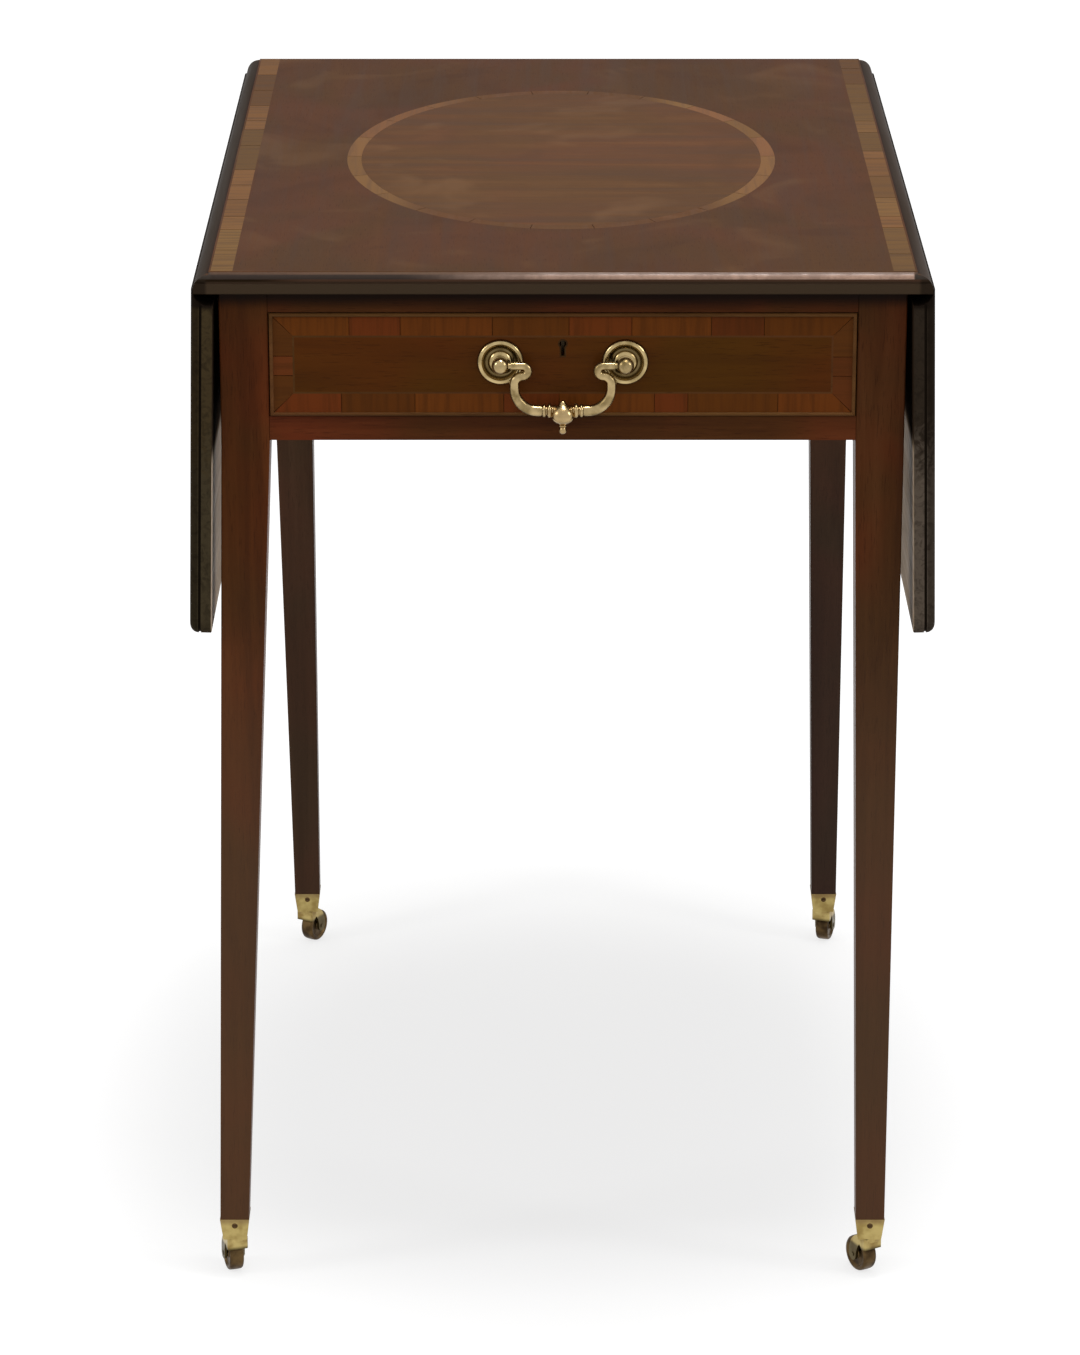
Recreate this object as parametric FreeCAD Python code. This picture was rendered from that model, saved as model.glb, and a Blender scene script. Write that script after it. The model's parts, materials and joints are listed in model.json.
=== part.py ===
import FreeCAD, Part
import math
import os

# Pembroke table with two drop leaves, a frieze drawer and castors.
# Millimetres. +X is right as seen from the drawer end, +Y points to the back, +Z is up.
# The origin is on the floor under the middle of the top. The leaves hang at rest.

V = FreeCAD.Vector
ORIGIN = V(0, 0, 0)
ALONG_X = V(1, 0, 0)
ALONG_Y = V(0, 1, 0)
UP = V(0, 0, 1)
OUT_FRONT = V(0, -1, 0)

# Top and leaves
TABLE_HEIGHT = 716.0
TOP_LENGTH = 635.0
FIELD_WIDTH = 453.0
BOARD_THICK = 14.0
EDGE_ROUND = 5.6
EDGE_QUIRK = 0.8
EDGE_EASE = 0.8
LEAF_REACH = 234.0
LEAF_LEAN = 6.0
LEAF_CORNER = 11.0
JOINT_STEP = 1.5
JOINT_RADIUS = 10.0
JOINT_GAP = 0.4

# Inlay in the top and leaves
INLAY_DEPTH = 0.8
BAND_WIDTH = 14.0
BAND_MARGIN = 1.2
OVAL_WIDTH = 298.0
OVAL_LENGTH = 408.0
OVAL_BAND = 10.0

# Frame
END_OVERHANG = 10.5
LEAF_TO_LEG = 3.0
LEG_TOP = 31.5
LEG_FOOT = 19.5
FRIEZE_HEIGHT = 100.0
RAIL_SETBACK = 2.0
OUTER_RAIL_THICK = 15.0
INNER_RAIL_THICK = 12.0
FRONT_RAIL_DEPTH = 50.0
TOP_RAIL_HEIGHT = 14.5
DRAWER_RAIL_HEIGHT = 16.0
REAR_RAIL_THICK = 18.0
TENON_LENGTH = 12.0
TENON_SHOULDER = 2.5
FACE_SHOULDER = 4.0
MORTISE_WALL = 4.0
RUNNER_WIDTH = 22.0
RUNNER_THICK = 11.0
GUIDE_HEIGHT = 14.0
STOP_OFFSET = 95.0
STOP_WIDTH = 30.0
STOP_DEPTH = 22.0
STOP_HEIGHT = 4.0

# Fly brackets
FLY_LENGTH = 204.0
FLY_HEIGHT = 58.0
FLY_FINGERS = 5
FLY_GAP = 0.4
FLY_PIN_RADIUS = 2.0
FINGER_SCOOP = 13.0

# Drawer
DRAWER_GAP = 0.6
RUNNER_GAP = 0.3
STOP_GAP = 0.3
DRAWER_END_ROOM = 56.0
DRAWER_FRONT_THICK = 18.0
DRAWER_SIDE_THICK = 8.0
DRAWER_SIDE_DROP = 6.0
DRAWER_BACK_THICK = 8.0
DRAWER_BACK_DROP = 10.0
DRAWER_BOTTOM_THICK = 5.0
DRAWER_BOTTOM_RISE = 7.5
GROOVE_DEPTH = 4.0
FRONT_TAIL = 12.0
TAIL_HALF = 6.0
TAIL_FLARE = 2.0
TAIL_COUNT = 3
BEAD_WIDTH = 2.4
BEAD_PROUD = 1.4
BEAD_ROOT = 6.0
DRAWER_BAND = 12.5
STRING_WIDTH = 1.2

# Handles
HANDLE_SPACING = 80.5
HANDLE_RAISE = 2.0
ROSETTE_RADIUS = 15.0
ROSETTE_THICK = 3.2
BOLT_RADIUS = 2.5
NUT_SIZE = 9.0
NUT_THICK = 4.0
BOLT_END = 1.5
POST_REACH = 10.0
KNOB_RADIUS = 5.6
NECK_RADIUS = 3.2
BAIL_PIN_RADIUS = 2.0
PIN_FIT = 0.05
BAIL_END_RADIUS = 2.7
BAIL_MID_RADIUS = 3.8
BAIL_DROP = 29.8
HOOK_CENTRE = 25.8
HOOK_RADIUS = 3.4
NECK_BEND = 5.4
CORNER_BEND = 15.0
KNOB_CLEAR = 1.2
PIN_DEPTH = 3.6
COLLAR_PLACE = 11.0
COLLAR_LENGTH = 2.8
COLLAR_RADIUS = 4.8
DROP_RISE = 6.6
DROP_HEIGHT = 22.3
DROP_RADIUS = 7.0
DROP_BALL = 2.5
DROP_WAIST = 1.9

# Lock
LOCK_WIDTH = 48.0
LOCK_HEIGHT = 34.0
LOCK_DEPTH = 7.0
LOCK_BOLT = 20.0
LOCK_BOLT_THICK = 4.0
LOCK_DROP = 2.0
KEYHOLE_RAISE = 12.0
KEYHOLE_RADIUS = 2.2
KEYHOLE_SLOT = 2.2
KEYHOLE_TAIL = 8.0
ESCUTCHEON_WALL = 1.0
ESCUTCHEON_DEPTH = 3.0

# Leaf hinges
HINGE_INSET = 102.5
HINGE_WIDTH = 33.0
HINGE_PLATE = 1.5
FIXED_FLAP = 30.0
LEAF_FLAP = 42.0
HINGE_PIN_RADIUS = 1.2
KNUCKLE_GAP = 0.4
HINGE_SCREW_SIDE = 10.0
HINGE_SCREW_INSET = 7.0

# Screws: head radius, shank radius, length
HINGE_SCREW_HEAD = 2.6
HINGE_SCREW_SHANK = 1.3
HINGE_SCREW_LENGTH = 9.5
TOP_SCREW_HEAD = 3.6
TOP_SCREW_SHANK = 1.8
TOP_SCREW_BITE = 8.0
CUP_SCREW_HEAD = 2.0
CUP_SCREW_SHANK = 1.0
CUP_SCREW_LENGTH = 7.0
CUP_SCREW_DROP = 5.0
SCREW_FIT = 0.05

# Castors
WHEEL_RADIUS = 12.5
WHEEL_WIDTH = 10.0
WHEEL_ROUND = 1.5
WHEEL_HEAD_GAP = 1.2
HORN_PLATE = 2.8
HORN_RADIUS = 7.4
HORN_APRON = 5.6
HORN_CORNER = 1.2
SWIVEL_GAP = 0.3
CUP_HEIGHT = 16.0
CUP_PROUD = 0.3
CUP_FOOT = 16.0
CUP_WALL = 1.3
CUP_FLOOR = 2.5
SPIGOT_FIT = 0.1
SPIGOT_ROOM = 3.0
STEM_RADIUS = 2.4
STEM_FIT = 0.08
RIVET_RADIUS = 4.0
RIVET_THICK = 1.6
TRAIL = 9.0
CHEEK_GAP = 0.4
CHEEK_THICK = 1.8
AXLE_RADIUS = 1.6
AXLE_FIT = 0.08
AXLE_BOSS = 4.2

# Direction each castor trails at rest, in degrees from +X
CASTOR_TURN = {
    "front_left": 107.0,
    "front_right": 120.0,
    "rear_left": 60.0,
    "rear_right": 72.0,
}

# Two of the old legs lean a little: how far each foot stands to the right of its straight place
FOOT_DRIFT = {
    "front_left": -12.5,
    "front_right": 0.0,
    "rear_left": 11.2,
    "rear_right": 0.0,
}

# Places that follow from the sizes above
under_z = TABLE_HEIGHT - BOARD_THICK
frieze_z = under_z - FRIEZE_HEIGHT
axis_x = FIELD_WIDTH / 2
axis_z = TABLE_HEIGHT - JOINT_STEP - JOINT_RADIUS
hinge_barrel = axis_z - under_z
leaf_turn = 90 - math.degrees(math.asin(LEAF_LEAN / LEAF_REACH))
leaf_inner_x = axis_x + JOINT_STEP + JOINT_RADIUS - BOARD_THICK
leg_x = leaf_inner_x - LEAF_TO_LEG
leg_y = TOP_LENGTH / 2 - END_OVERHANG
leg_in_x = leg_x - LEG_TOP
leg_in_y = leg_y - LEG_TOP
foot_x = leg_x - LEG_FOOT / 2
foot_y = leg_y - LEG_FOOT / 2
yoke_z = 2 * WHEEL_RADIUS + WHEEL_HEAD_GAP
cup_z = yoke_z + HORN_PLATE + SWIVEL_GAP
foot_z = cup_z + CUP_HEIGHT
rail_out_x = leg_x - RAIL_SETBACK
rail_mid_x = rail_out_x - OUTER_RAIL_THICK
rail_in_x = rail_mid_x - INNER_RAIL_THICK
opening_z0 = frieze_z + DRAWER_RAIL_HEIGHT
opening_z1 = under_z - TOP_RAIL_HEIGHT
front_tenon = LEG_TOP - TENON_LENGTH - FACE_SHOULDER - MORTISE_WALL
drawer_x = leg_in_x - DRAWER_GAP
drawer_z0 = opening_z0 + RUNNER_GAP
drawer_z1 = opening_z1 - DRAWER_GAP
drawer_back_y = leg_y - REAR_RAIL_THICK - DRAWER_END_ROOM
front_in_y = -leg_y + DRAWER_FRONT_THICK
side_top_z = drawer_z1 - DRAWER_SIDE_DROP
bottom_z0 = drawer_z0 + DRAWER_BOTTOM_RISE
bottom_z1 = bottom_z0 + DRAWER_BOTTOM_THICK
back_top_z = side_top_z - DRAWER_BACK_DROP
handle_z = (drawer_z0 + drawer_z1) / 2 + HANDLE_RAISE
hinge_y = TOP_LENGTH / 2 - HINGE_INSET
pivot_y = -leg_y - POST_REACH
fly_z0 = under_z - FLY_HEIGHT
fly_pitch = FLY_HEIGHT / FLY_FINGERS
fly_pin_x = rail_out_x - OUTER_RAIL_THICK / 2


def box(x0, x1, y0, y1, z0, z1):
    return Part.makeBox(x1 - x0, y1 - y0, z1 - z0, V(x0, y0, z0))


def rod(radius, start, end):
    run = end - start
    return Part.makeCylinder(radius, run.Length, start, run)


def outline(path):
    """Closed wire through the points of path. A pair bends an arc, a list draws one smooth curve."""
    edges = []
    here = path[0]
    for step in path[1:] + [path[0]]:
        if isinstance(step, tuple):
            edges.append(Part.Arc(here, step[0], step[1]).toShape())
            here = step[1]
        elif isinstance(step, list):
            curve = Part.BSplineCurve()
            curve.interpolate([here] + step)
            edges.append(curve.toShape())
            here = step[-1]
        elif here.distanceToPoint(step) > 1e-6:
            edges.append(Part.makeLine(here, step))
            here = step
    return Part.Wire(edges)


def prism(path, run):
    return Part.Face(outline(path)).extrude(run)


def turned(profile, base, axis):
    """Solid of revolution. The profile gives (radius, height) steps, pairs and lists as in outline."""
    path = []
    for step in profile:
        if isinstance(step, list):
            path.append([V(radius, 0, height) for radius, height in step])
        elif isinstance(step[0], tuple):
            path.append(tuple(V(radius, 0, height) for radius, height in step))
        else:
            path.append(V(step[0], 0, step[1]))
    solid = Part.Face(outline(path)).revolve(ORIGIN, UP, 360)
    solid.Placement = FreeCAD.Placement(base, FreeCAD.Rotation(UP, axis))
    return solid


def square(centre_x, centre_y, size, z):
    half = size / 2
    corners = [(-half, -half), (half, -half), (half, half), (-half, half), (-half, -half)]
    return Part.makePolygon([V(centre_x + dx, centre_y + dy, z) for dx, dy in corners])


def mirrored(shape):
    return shape.mirror(ORIGIN, ALONG_X)


def half_turn(shape):
    copy = shape.copy()
    copy.rotate(ORIGIN, UP, 180)
    return copy


def lowered(shape):
    """Turn a piece of the raised right leaf about the hinge axis until it hangs, leaning out a little."""
    copy = shape.copy()
    copy.rotate(V(axis_x, 0, axis_z), ALONG_Y, leaf_turn)
    return copy


def screw(base, axis, head, shank, length):
    """Countersunk slotted screw with its head flush at base, driven along axis."""
    sunk = head - shank
    profile = [(0, 0), (head, 0), (shank, sunk), (shank, length - 2 * shank), (0, length)]
    body = turned(profile, ORIGIN, UP)
    slot = box(-head, head, -head / 8, head / 8, -1, head / 3)
    body = body.cut(slot)
    body.Placement = FreeCAD.Placement(base, FreeCAD.Rotation(UP, axis))
    return body


def screw_hole(base, axis, head, shank, length):
    """Clearance for one screw, open above its head."""
    wide = head + SCREW_FIT
    slim = shank + SCREW_FIT
    tip = length + SCREW_FIT
    profile = [(0, -1), (wide, -1), (wide, 0), (slim, head - shank), (slim, length), (0, tip)]
    return turned(profile, base, axis)


def save(name, solids):
    shape = solids[0] if len(solids) == 1 else Part.makeCompound(solids)
    shape.exportStep("parts/" + name + ".step")


def eased(board, z, radius, keep):
    """Round the level edges of a board at height z where keep says so for the edge's middle."""
    edges = []
    for edge in board.Edges:
        middle = edge.valueAt((edge.FirstParameter + edge.LastParameter) / 2)
        level = max(abs(corner.Z - z) for corner in edge.Vertexes) < 1e-6
        if level and keep(middle):
            edges.append(edge)
    return board.makeFillet(radius, edges)


def moulded_edge(board, core, keep):
    """Round the upper edge, ease the lower one and cut a quirk round core under the rounding."""
    board = eased(board, TABLE_HEIGHT, EDGE_ROUND, keep)
    board = eased(board, under_z, EDGE_EASE, keep)
    bounds = board.BoundBox
    quirk_z = TABLE_HEIGHT - EDGE_ROUND
    ring = box(bounds.XMin, bounds.XMax, bounds.YMin, bounds.YMax, quirk_z - 2 * EDGE_QUIRK, quirk_z)
    return board.cut(ring.cut(core))


def rule_joint_cove():
    """Room that the raised right leaf leaves round the rule joint."""
    wide = 2 * BOARD_THICK
    half = TOP_LENGTH
    hollow = JOINT_RADIUS + JOINT_GAP
    inner = box(axis_x - wide, axis_x + JOINT_GAP, -half, half, under_z - 1, TABLE_HEIGHT + 1)
    lower = box(axis_x - wide, axis_x + hollow, -half, half, under_z - 1, axis_z)
    ring = rod(hollow, V(axis_x, -half, axis_z), V(axis_x, half, axis_z))
    return inner.fuse([lower, ring])


def hinge_parts(y):
    """One leaf hinge of the right side with the leaf raised: flaps, pin, screws and their clearances."""
    y0 = y - HINGE_WIDTH / 2
    y1 = y + HINGE_WIDTH / 2
    third = HINGE_WIDTH / 3
    near = hinge_barrel + KNUCKLE_GAP
    plate_top = under_z + HINGE_PLATE
    barrel = rod(hinge_barrel, V(axis_x, y0, axis_z), V(axis_x, y1, axis_z))
    bore = rod(HINGE_PIN_RADIUS + PIN_FIT, V(axis_x, y0 - 1, axis_z), V(axis_x, y1 + 1, axis_z))
    pin = rod(HINGE_PIN_RADIUS, V(axis_x, y0, axis_z), V(axis_x, y1, axis_z))

    def gap(start, end):
        return box(axis_x - near, axis_x + near, start, end, under_z - 1, axis_z + near)

    slack = KNUCKLE_GAP / 2
    fixed = box(axis_x - FIXED_FLAP, axis_x, y0, y1, under_z, plate_top).fuse(barrel)
    fixed = fixed.cut([gap(y0 + third - slack, y1 - third + slack), bore])
    flap = box(axis_x, axis_x + LEAF_FLAP, y0, y1, under_z, plate_top).fuse(barrel)
    flap = flap.cut([gap(y0 - 1, y0 + third + slack), gap(y1 - third - slack, y1 + 1), bore])

    fixed_far = axis_x - FIXED_FLAP + HINGE_SCREW_INSET
    fixed_near = axis_x - near - HINGE_SCREW_INSET
    flap_far = axis_x + LEAF_FLAP - HINGE_SCREW_INSET
    flap_near = axis_x + JOINT_RADIUS + JOINT_GAP + HINGE_SCREW_INSET
    kind = (UP, HINGE_SCREW_HEAD, HINGE_SCREW_SHANK, HINGE_SCREW_LENGTH)
    fixed_places = [V(fixed_far, y, under_z)]
    flap_places = [V(flap_far, y, under_z)]
    for side in (-HINGE_SCREW_SIDE, HINGE_SCREW_SIDE):
        fixed_places.append(V(fixed_near, y + side, under_z))
        flap_places.append(V(flap_near, y + side, under_z))
    fixed_holes = [screw_hole(place, *kind) for place in fixed_places]
    flap_holes = [screw_hole(place, *kind) for place in flap_places]

    # The leaf flap turns in this pocket under the edge of the top.
    wide0 = y0 - KNUCKLE_GAP
    wide1 = y1 + KNUCKLE_GAP
    reach = axis_x + JOINT_RADIUS + 1
    pocket = box(axis_x - near, reach, wide0, wide1, under_z - 1, plate_top + KNUCKLE_GAP)
    trough = rod(near, V(axis_x, wide0, axis_z), V(axis_x, wide1, axis_z))
    return {
        "fixed": fixed.cut(fixed_holes),
        "flap": flap.cut(flap_holes),
        "pin": pin,
        "fixed_screws": [screw(place, *kind) for place in fixed_places],
        "flap_screws": [screw(place, *kind) for place in flap_places],
        "top_cuts": [fixed, pocket, trough] + fixed_holes,
        "leaf_cuts": [box(axis_x, axis_x + LEAF_FLAP, y0, y1, under_z - 1, plate_top)] + flap_holes,
    }


def oval(width, length, z0, z1):
    curve = Part.Ellipse(ORIGIN, length / 2, width / 2)
    face = Part.Face(Part.Wire(curve.toShape()))
    face.rotate(ORIGIN, UP, 90)
    face.translate(V(0, 0, z0))
    return face.extrude(V(0, 0, z1 - z0))


def build_top(hinges, screw_places):
    half = TOP_LENGTH / 2
    edge_x = axis_x + JOINT_RADIUS
    board = box(-edge_x, edge_x, -half, half, under_z, TABLE_HEIGHT)
    quirk_y = half - EDGE_QUIRK
    core = box(-edge_x, edge_x, -quirk_y, quirk_y, under_z, TABLE_HEIGHT)
    board = moulded_edge(board, core, lambda middle: abs(middle.y) > half - 1)
    corner = box(axis_x, edge_x + 1, -half - 1, half + 1, axis_z, TABLE_HEIGHT + 1)
    ovolo = rod(JOINT_RADIUS, V(axis_x, -half - 2, axis_z), V(axis_x, half + 2, axis_z))
    corner = corner.cut(ovolo)

    inlay_z = TABLE_HEIGHT - INLAY_DEPTH
    whole_oval = oval(OVAL_WIDTH, OVAL_LENGTH, inlay_z, TABLE_HEIGHT)
    panel = oval(OVAL_WIDTH - 2 * OVAL_BAND, OVAL_LENGTH - 2 * OVAL_BAND, inlay_z, TABLE_HEIGHT)
    ring = whole_oval.cut(panel)
    band_x = axis_x - BAND_MARGIN
    band_y = half - EDGE_ROUND
    strip = box(band_x - BAND_WIDTH, band_x, -band_y, band_y, inlay_z, TABLE_HEIGHT)

    right_cuts = [corner, strip]
    for hinge in hinges:
        right_cuts.extend(hinge["top_cuts"])
    cuts = right_cuts + [mirrored(cut) for cut in right_cuts]
    for place in screw_places:
        cuts.append(top_screw_hole(place))
    save("top_panel", [board.cut(cuts).cut(whole_oval)])
    save("top_oval_panel", [panel])
    save("top_oval_banding", [ring])
    save("top_crossbanding", [strip, mirrored(strip)])


def leaf_board(far, half, corner_radius):
    """Raised right leaf as a plain board with its two outer corners rounded."""
    board = box(axis_x - BOARD_THICK, far, -half, half, under_z, TABLE_HEIGHT)
    corners = []
    for edge in board.Edges:
        upright = abs(edge.Vertexes[0].Z - edge.Vertexes[-1].Z) > 1
        if upright and edge.Vertexes[0].X > axis_x:
            corners.append(edge)
    return board.makeFillet(corner_radius, corners)


def build_leaves(hinges):
    half = TOP_LENGTH / 2
    far = axis_x + LEAF_REACH
    board = leaf_board(far, half, LEAF_CORNER)
    core = leaf_board(far - EDGE_QUIRK, half - EDGE_QUIRK, LEAF_CORNER - EDGE_QUIRK)
    board = moulded_edge(board, core, lambda middle: middle.x > axis_x - BOARD_THICK + 1)
    inlay_z = TABLE_HEIGHT - INLAY_DEPTH
    band_x = far - EDGE_ROUND - BAND_MARGIN
    band_y = half - EDGE_ROUND - BAND_MARGIN
    strip = box(band_x - BAND_WIDTH, band_x, -band_y, band_y, inlay_z, TABLE_HEIGHT)
    cuts = [rule_joint_cove(), strip]
    for hinge in hinges:
        cuts.extend(hinge["leaf_cuts"])
    leaf = lowered(board.cut(cuts))
    band = lowered(strip)
    flaps = [lowered(hinge["flap"]) for hinge in hinges]
    screws = []
    for hinge in hinges:
        screws.extend([lowered(item) for item in hinge["flap_screws"]])
    save("leaf_right", [leaf])
    save("leaf_left", [mirrored(leaf)])
    save("leaf_crossbanding_right", [band])
    save("leaf_crossbanding_left", [mirrored(band)])
    save("leaf_hinge_flaps_right", flaps)
    save("leaf_hinge_flaps_left", [mirrored(item) for item in flaps])
    save("leaf_hinge_screws_right", screws)
    save("leaf_hinge_screws_left", [mirrored(item) for item in screws])


def build_top_hinges(hinges, screw_places, fly_pins):
    fixed = [hinge["fixed"] for hinge in hinges]
    pins = [hinge["pin"] for hinge in hinges]
    screws = []
    for hinge in hinges:
        screws.extend(hinge["fixed_screws"])
    save("top_hinge_flaps", fixed + [mirrored(item) for item in fixed])
    save("hinge_pins", pins + [mirrored(item) for item in pins] + fly_pins)
    screws = screws + [mirrored(item) for item in screws]
    save("underside_screws", screws + [top_screw(place) for place in screw_places])


def top_screw_places():
    """Screws that hold the top, driven up through the kickers and the front rail."""
    kicker_x = rail_in_x - RUNNER_WIDTH / 2
    rail_y = -leg_y + FRONT_RAIL_DEPTH * 0.6
    places = []
    for side in (-1, 1):
        for y in (-leg_in_y / 2, 0, leg_in_y / 2):
            places.append(V(side * kicker_x, y, opening_z1))
        places.append(V(side * kicker_x / 2, rail_y, opening_z1))
    return places


def top_screw_hole(place):
    return screw_hole(place, UP, TOP_SCREW_HEAD, TOP_SCREW_SHANK, TOP_RAIL_HEIGHT + TOP_SCREW_BITE)


def top_screw(place):
    return screw(place, UP, TOP_SCREW_HEAD, TOP_SCREW_SHANK, TOP_RAIL_HEIGHT + TOP_SCREW_BITE)


def cross_rail(z0, z1):
    """Flat front rail between the legs with a stub tenon at each end."""
    rail = box(-leg_in_x, leg_in_x, -leg_y, -leg_y + FRONT_RAIL_DEPTH, z0, z1)
    tenon_y = -leg_y + FACE_SHOULDER
    end_x = leg_in_x + TENON_LENGTH
    tenon = box(-end_x, end_x, tenon_y, tenon_y + front_tenon, z0 + TENON_SHOULDER, z1 - TENON_SHOULDER)
    return rail.fuse(tenon)


def side_rail(x0, x1):
    """Upright side rail between the right legs with a tenon at each end."""
    rail = box(x0, x1, -leg_in_y, leg_in_y, frieze_z, under_z)
    end_y = leg_in_y + TENON_LENGTH
    inset = 3 * TENON_SHOULDER
    tenon = box(x0 + TENON_SHOULDER, x1 - TENON_SHOULDER, -end_y, end_y, frieze_z + inset, under_z - inset)
    return rail.fuse(tenon)


def finger_slots(fingers, radius):
    """Round slots about the fly pin at the heights of the given knuckle fingers."""
    slots = []
    for finger in fingers:
        low = fly_z0 + finger * fly_pitch - FLY_GAP / 2
        high = low + fly_pitch + FLY_GAP
        slots.append(rod(radius, V(fly_pin_x, 0, low), V(fly_pin_x, 0, high)))
    return slots


def knuckle_bevel(side):
    """Wedge beyond the knuckle that lets the bracket turn. side is 1 on the rail, -1 on the bracket."""
    reach = OUTER_RAIL_THICK
    corner_a = V(fly_pin_x, 0, fly_z0 - FLY_GAP)
    corner_b = V(fly_pin_x + reach, 0, fly_z0 - FLY_GAP)
    corner_c = V(fly_pin_x + reach, side * reach, fly_z0 - FLY_GAP)
    wedge = prism([corner_a, corner_b, corner_c], V(0, 0, FLY_HEIGHT + FLY_GAP + 1))
    low = V(fly_pin_x, 0, fly_z0 - 2)
    return wedge.cut(rod(OUTER_RAIL_THICK / 2 - FLY_GAP, low, V(fly_pin_x, 0, under_z + 2)))


def build_side_rails():
    """Right outer rail with its hinged fly bracket and pin. Fingers alternate round the pin."""
    knuckle = OUTER_RAIL_THICK / 2
    pin_low = V(fly_pin_x, 0, fly_z0 - 2 * FLY_GAP)
    pin_high = V(fly_pin_x, 0, under_z)
    own = [n for n in range(FLY_FINGERS) if n % 2 == 1]
    other = [n for n in range(FLY_FINGERS) if n % 2 == 0]
    bore = rod(FLY_PIN_RADIUS + PIN_FIT, pin_low, pin_high + UP)

    notch = box(rail_mid_x - 1, rail_out_x + 1, -FLY_LENGTH - FLY_GAP, 0, fly_z0 - FLY_GAP, under_z + 1)
    rail = side_rail(rail_mid_x, rail_out_x).cut(notch)
    rail = rail.fuse(rod(knuckle, V(fly_pin_x, 0, fly_z0 - FLY_GAP), pin_high))
    rail = rail.cut(finger_slots(own, knuckle + FLY_GAP) + [knuckle_bevel(1), bore])

    slim = knuckle - FLY_GAP
    top = under_z - FLY_GAP
    fly = box(rail_mid_x + FLY_GAP, rail_out_x, -FLY_LENGTH, 0, fly_z0, top)
    fly = fly.fuse(rod(slim, V(fly_pin_x, 0, fly_z0), V(fly_pin_x, 0, top)))
    scoop_y = -FLY_LENGTH + 2 * FINGER_SCOOP
    scoop = rod(FINGER_SCOOP, V(rail_mid_x, scoop_y, fly_z0), V(rail_out_x + 1, scoop_y, fly_z0))
    fly = fly.cut(finger_slots(other, knuckle + FLY_GAP) + [knuckle_bevel(-1), bore, scoop])
    pin = rod(FLY_PIN_RADIUS, pin_low, pin_high)
    save("fly_bracket_right", [fly])
    save("fly_bracket_left", [mirrored(fly)])
    return rail, [pin, mirrored(pin)]


def frame_strips(x0, x1, z0, z1, width, front, back, nose):
    """Four mitred strips laid round a rectangle on the drawer face, rounded in front when nose is set."""
    corners = [(x0, z0), (x1, z0), (x1, z1), (x0, z1)]
    low_x = x0 + width
    high_x = x1 - width
    low_z = z0 + width
    high_z = z1 - width
    inner = [(low_x, low_z), (high_x, low_z), (high_x, high_z), (low_x, high_z)]
    strips = []
    for n in range(4):
        m = (n + 1) % 4
        ring = [corners[n], corners[m], inner[m], inner[n]]
        strip = prism([V(x, front, z) for x, z in ring], V(0, back - front, 0))
        if nose:
            start = V(corners[n][0], 0, corners[n][1])
            end = V(corners[m][0], 0, corners[m][1])
            side = (end - start).normalize()
            inward = V(-side.z, 0, side.x)
            half = width / 2
            near = start + V(0, front + half, 0)
            profile = [
                start + V(0, back, 0),
                near,
                (near + inward * half - V(0, half, 0), near + inward * width),
                start + inward * width + V(0, back, 0),
            ]
            strip = strip.common(prism(profile, end - start))
        strips.append(strip)
    return strips


def face_trim():
    """Bead round the edge of the drawer face, crossbanding inside it, then a thin string line."""

    def strips(inset, width, front, back, nose):
        x = drawer_x - inset
        return frame_strips(-x, x, drawer_z0 + inset, drawer_z1 - inset, width, front, back, nose)

    inlay_y = -leg_y + INLAY_DEPTH
    beads = strips(0, BEAD_WIDTH, -leg_y - BEAD_PROUD, -leg_y + BEAD_ROOT, True)
    bands = strips(BEAD_WIDTH, DRAWER_BAND, -leg_y, inlay_y, False)
    lines = strips(BEAD_WIDTH + DRAWER_BAND, STRING_WIDTH, -leg_y, inlay_y, False)
    return beads, bands, lines


def handle_posts():
    return [V(-HANDLE_SPACING / 2, -leg_y, handle_z), V(HANDLE_SPACING / 2, -leg_y, handle_z)]


def handle_rosettes():
    hole = BOLT_RADIUS
    edge = ROSETTE_RADIUS
    rim = edge * 0.8
    step = edge * 0.48
    profile = [
        (hole, 0),
        (edge, 0),
        (edge, 1.0),
        ((edge * 0.9, 2.9), (rim, 1.4)),
        (((rim + step) / 2, 1.0), (step, 1.9)),
        (step, ROSETTE_THICK),
        (hole, ROSETTE_THICK),
    ]
    return [turned(profile, place, OUT_FRONT) for place in handle_posts()]


def handle_bolts(thick):
    """Bolts with pierced knobs outside and square nuts inside a board of the given thickness."""
    tail = -thick - NUT_THICK - BOLT_END
    collar = NECK_RADIUS + 1.8
    meet = POST_REACH - math.sqrt(KNOB_RADIUS ** 2 - NECK_RADIUS ** 2)
    profile = [
        (0, tail),
        (BOLT_RADIUS, tail),
        (BOLT_RADIUS, ROSETTE_THICK),
        (collar, ROSETTE_THICK),
        (collar, ROSETTE_THICK + 1.2),
        (NECK_RADIUS, ROSETTE_THICK + 2.0),
        (NECK_RADIUS, meet),
        ((KNOB_RADIUS, POST_REACH), (0, POST_REACH + KNOB_RADIUS)),
    ]
    solids = []
    for place in handle_posts():
        inward = -1 if place.x > 0 else 1
        centre = V(place.x, pivot_y, place.z)
        mouth = centre + V(inward * (KNOB_RADIUS + 1), 0, 0)
        deep = centre + V(inward * (KNOB_RADIUS - PIN_DEPTH - KNOB_CLEAR), 0, 0)
        hole = rod(BAIL_PIN_RADIUS + PIN_FIT, deep, mouth)
        solids.append(turned(profile, place, OUT_FRONT).cut(hole))
        half = NUT_SIZE / 2
        nut_y = place.y + thick
        nut = box(place.x - half, place.x + half, nut_y, nut_y + NUT_THICK, place.z - half, place.z + half)
        solids.append(nut.cut(rod(BOLT_RADIUS, place, V(place.x, nut_y + NUT_THICK + 1, place.z))))
    return solids


def bolt_holes(thick):
    return [rod(BOLT_RADIUS, place, place + V(0, thick, 0)) for place in handle_posts()]


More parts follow.
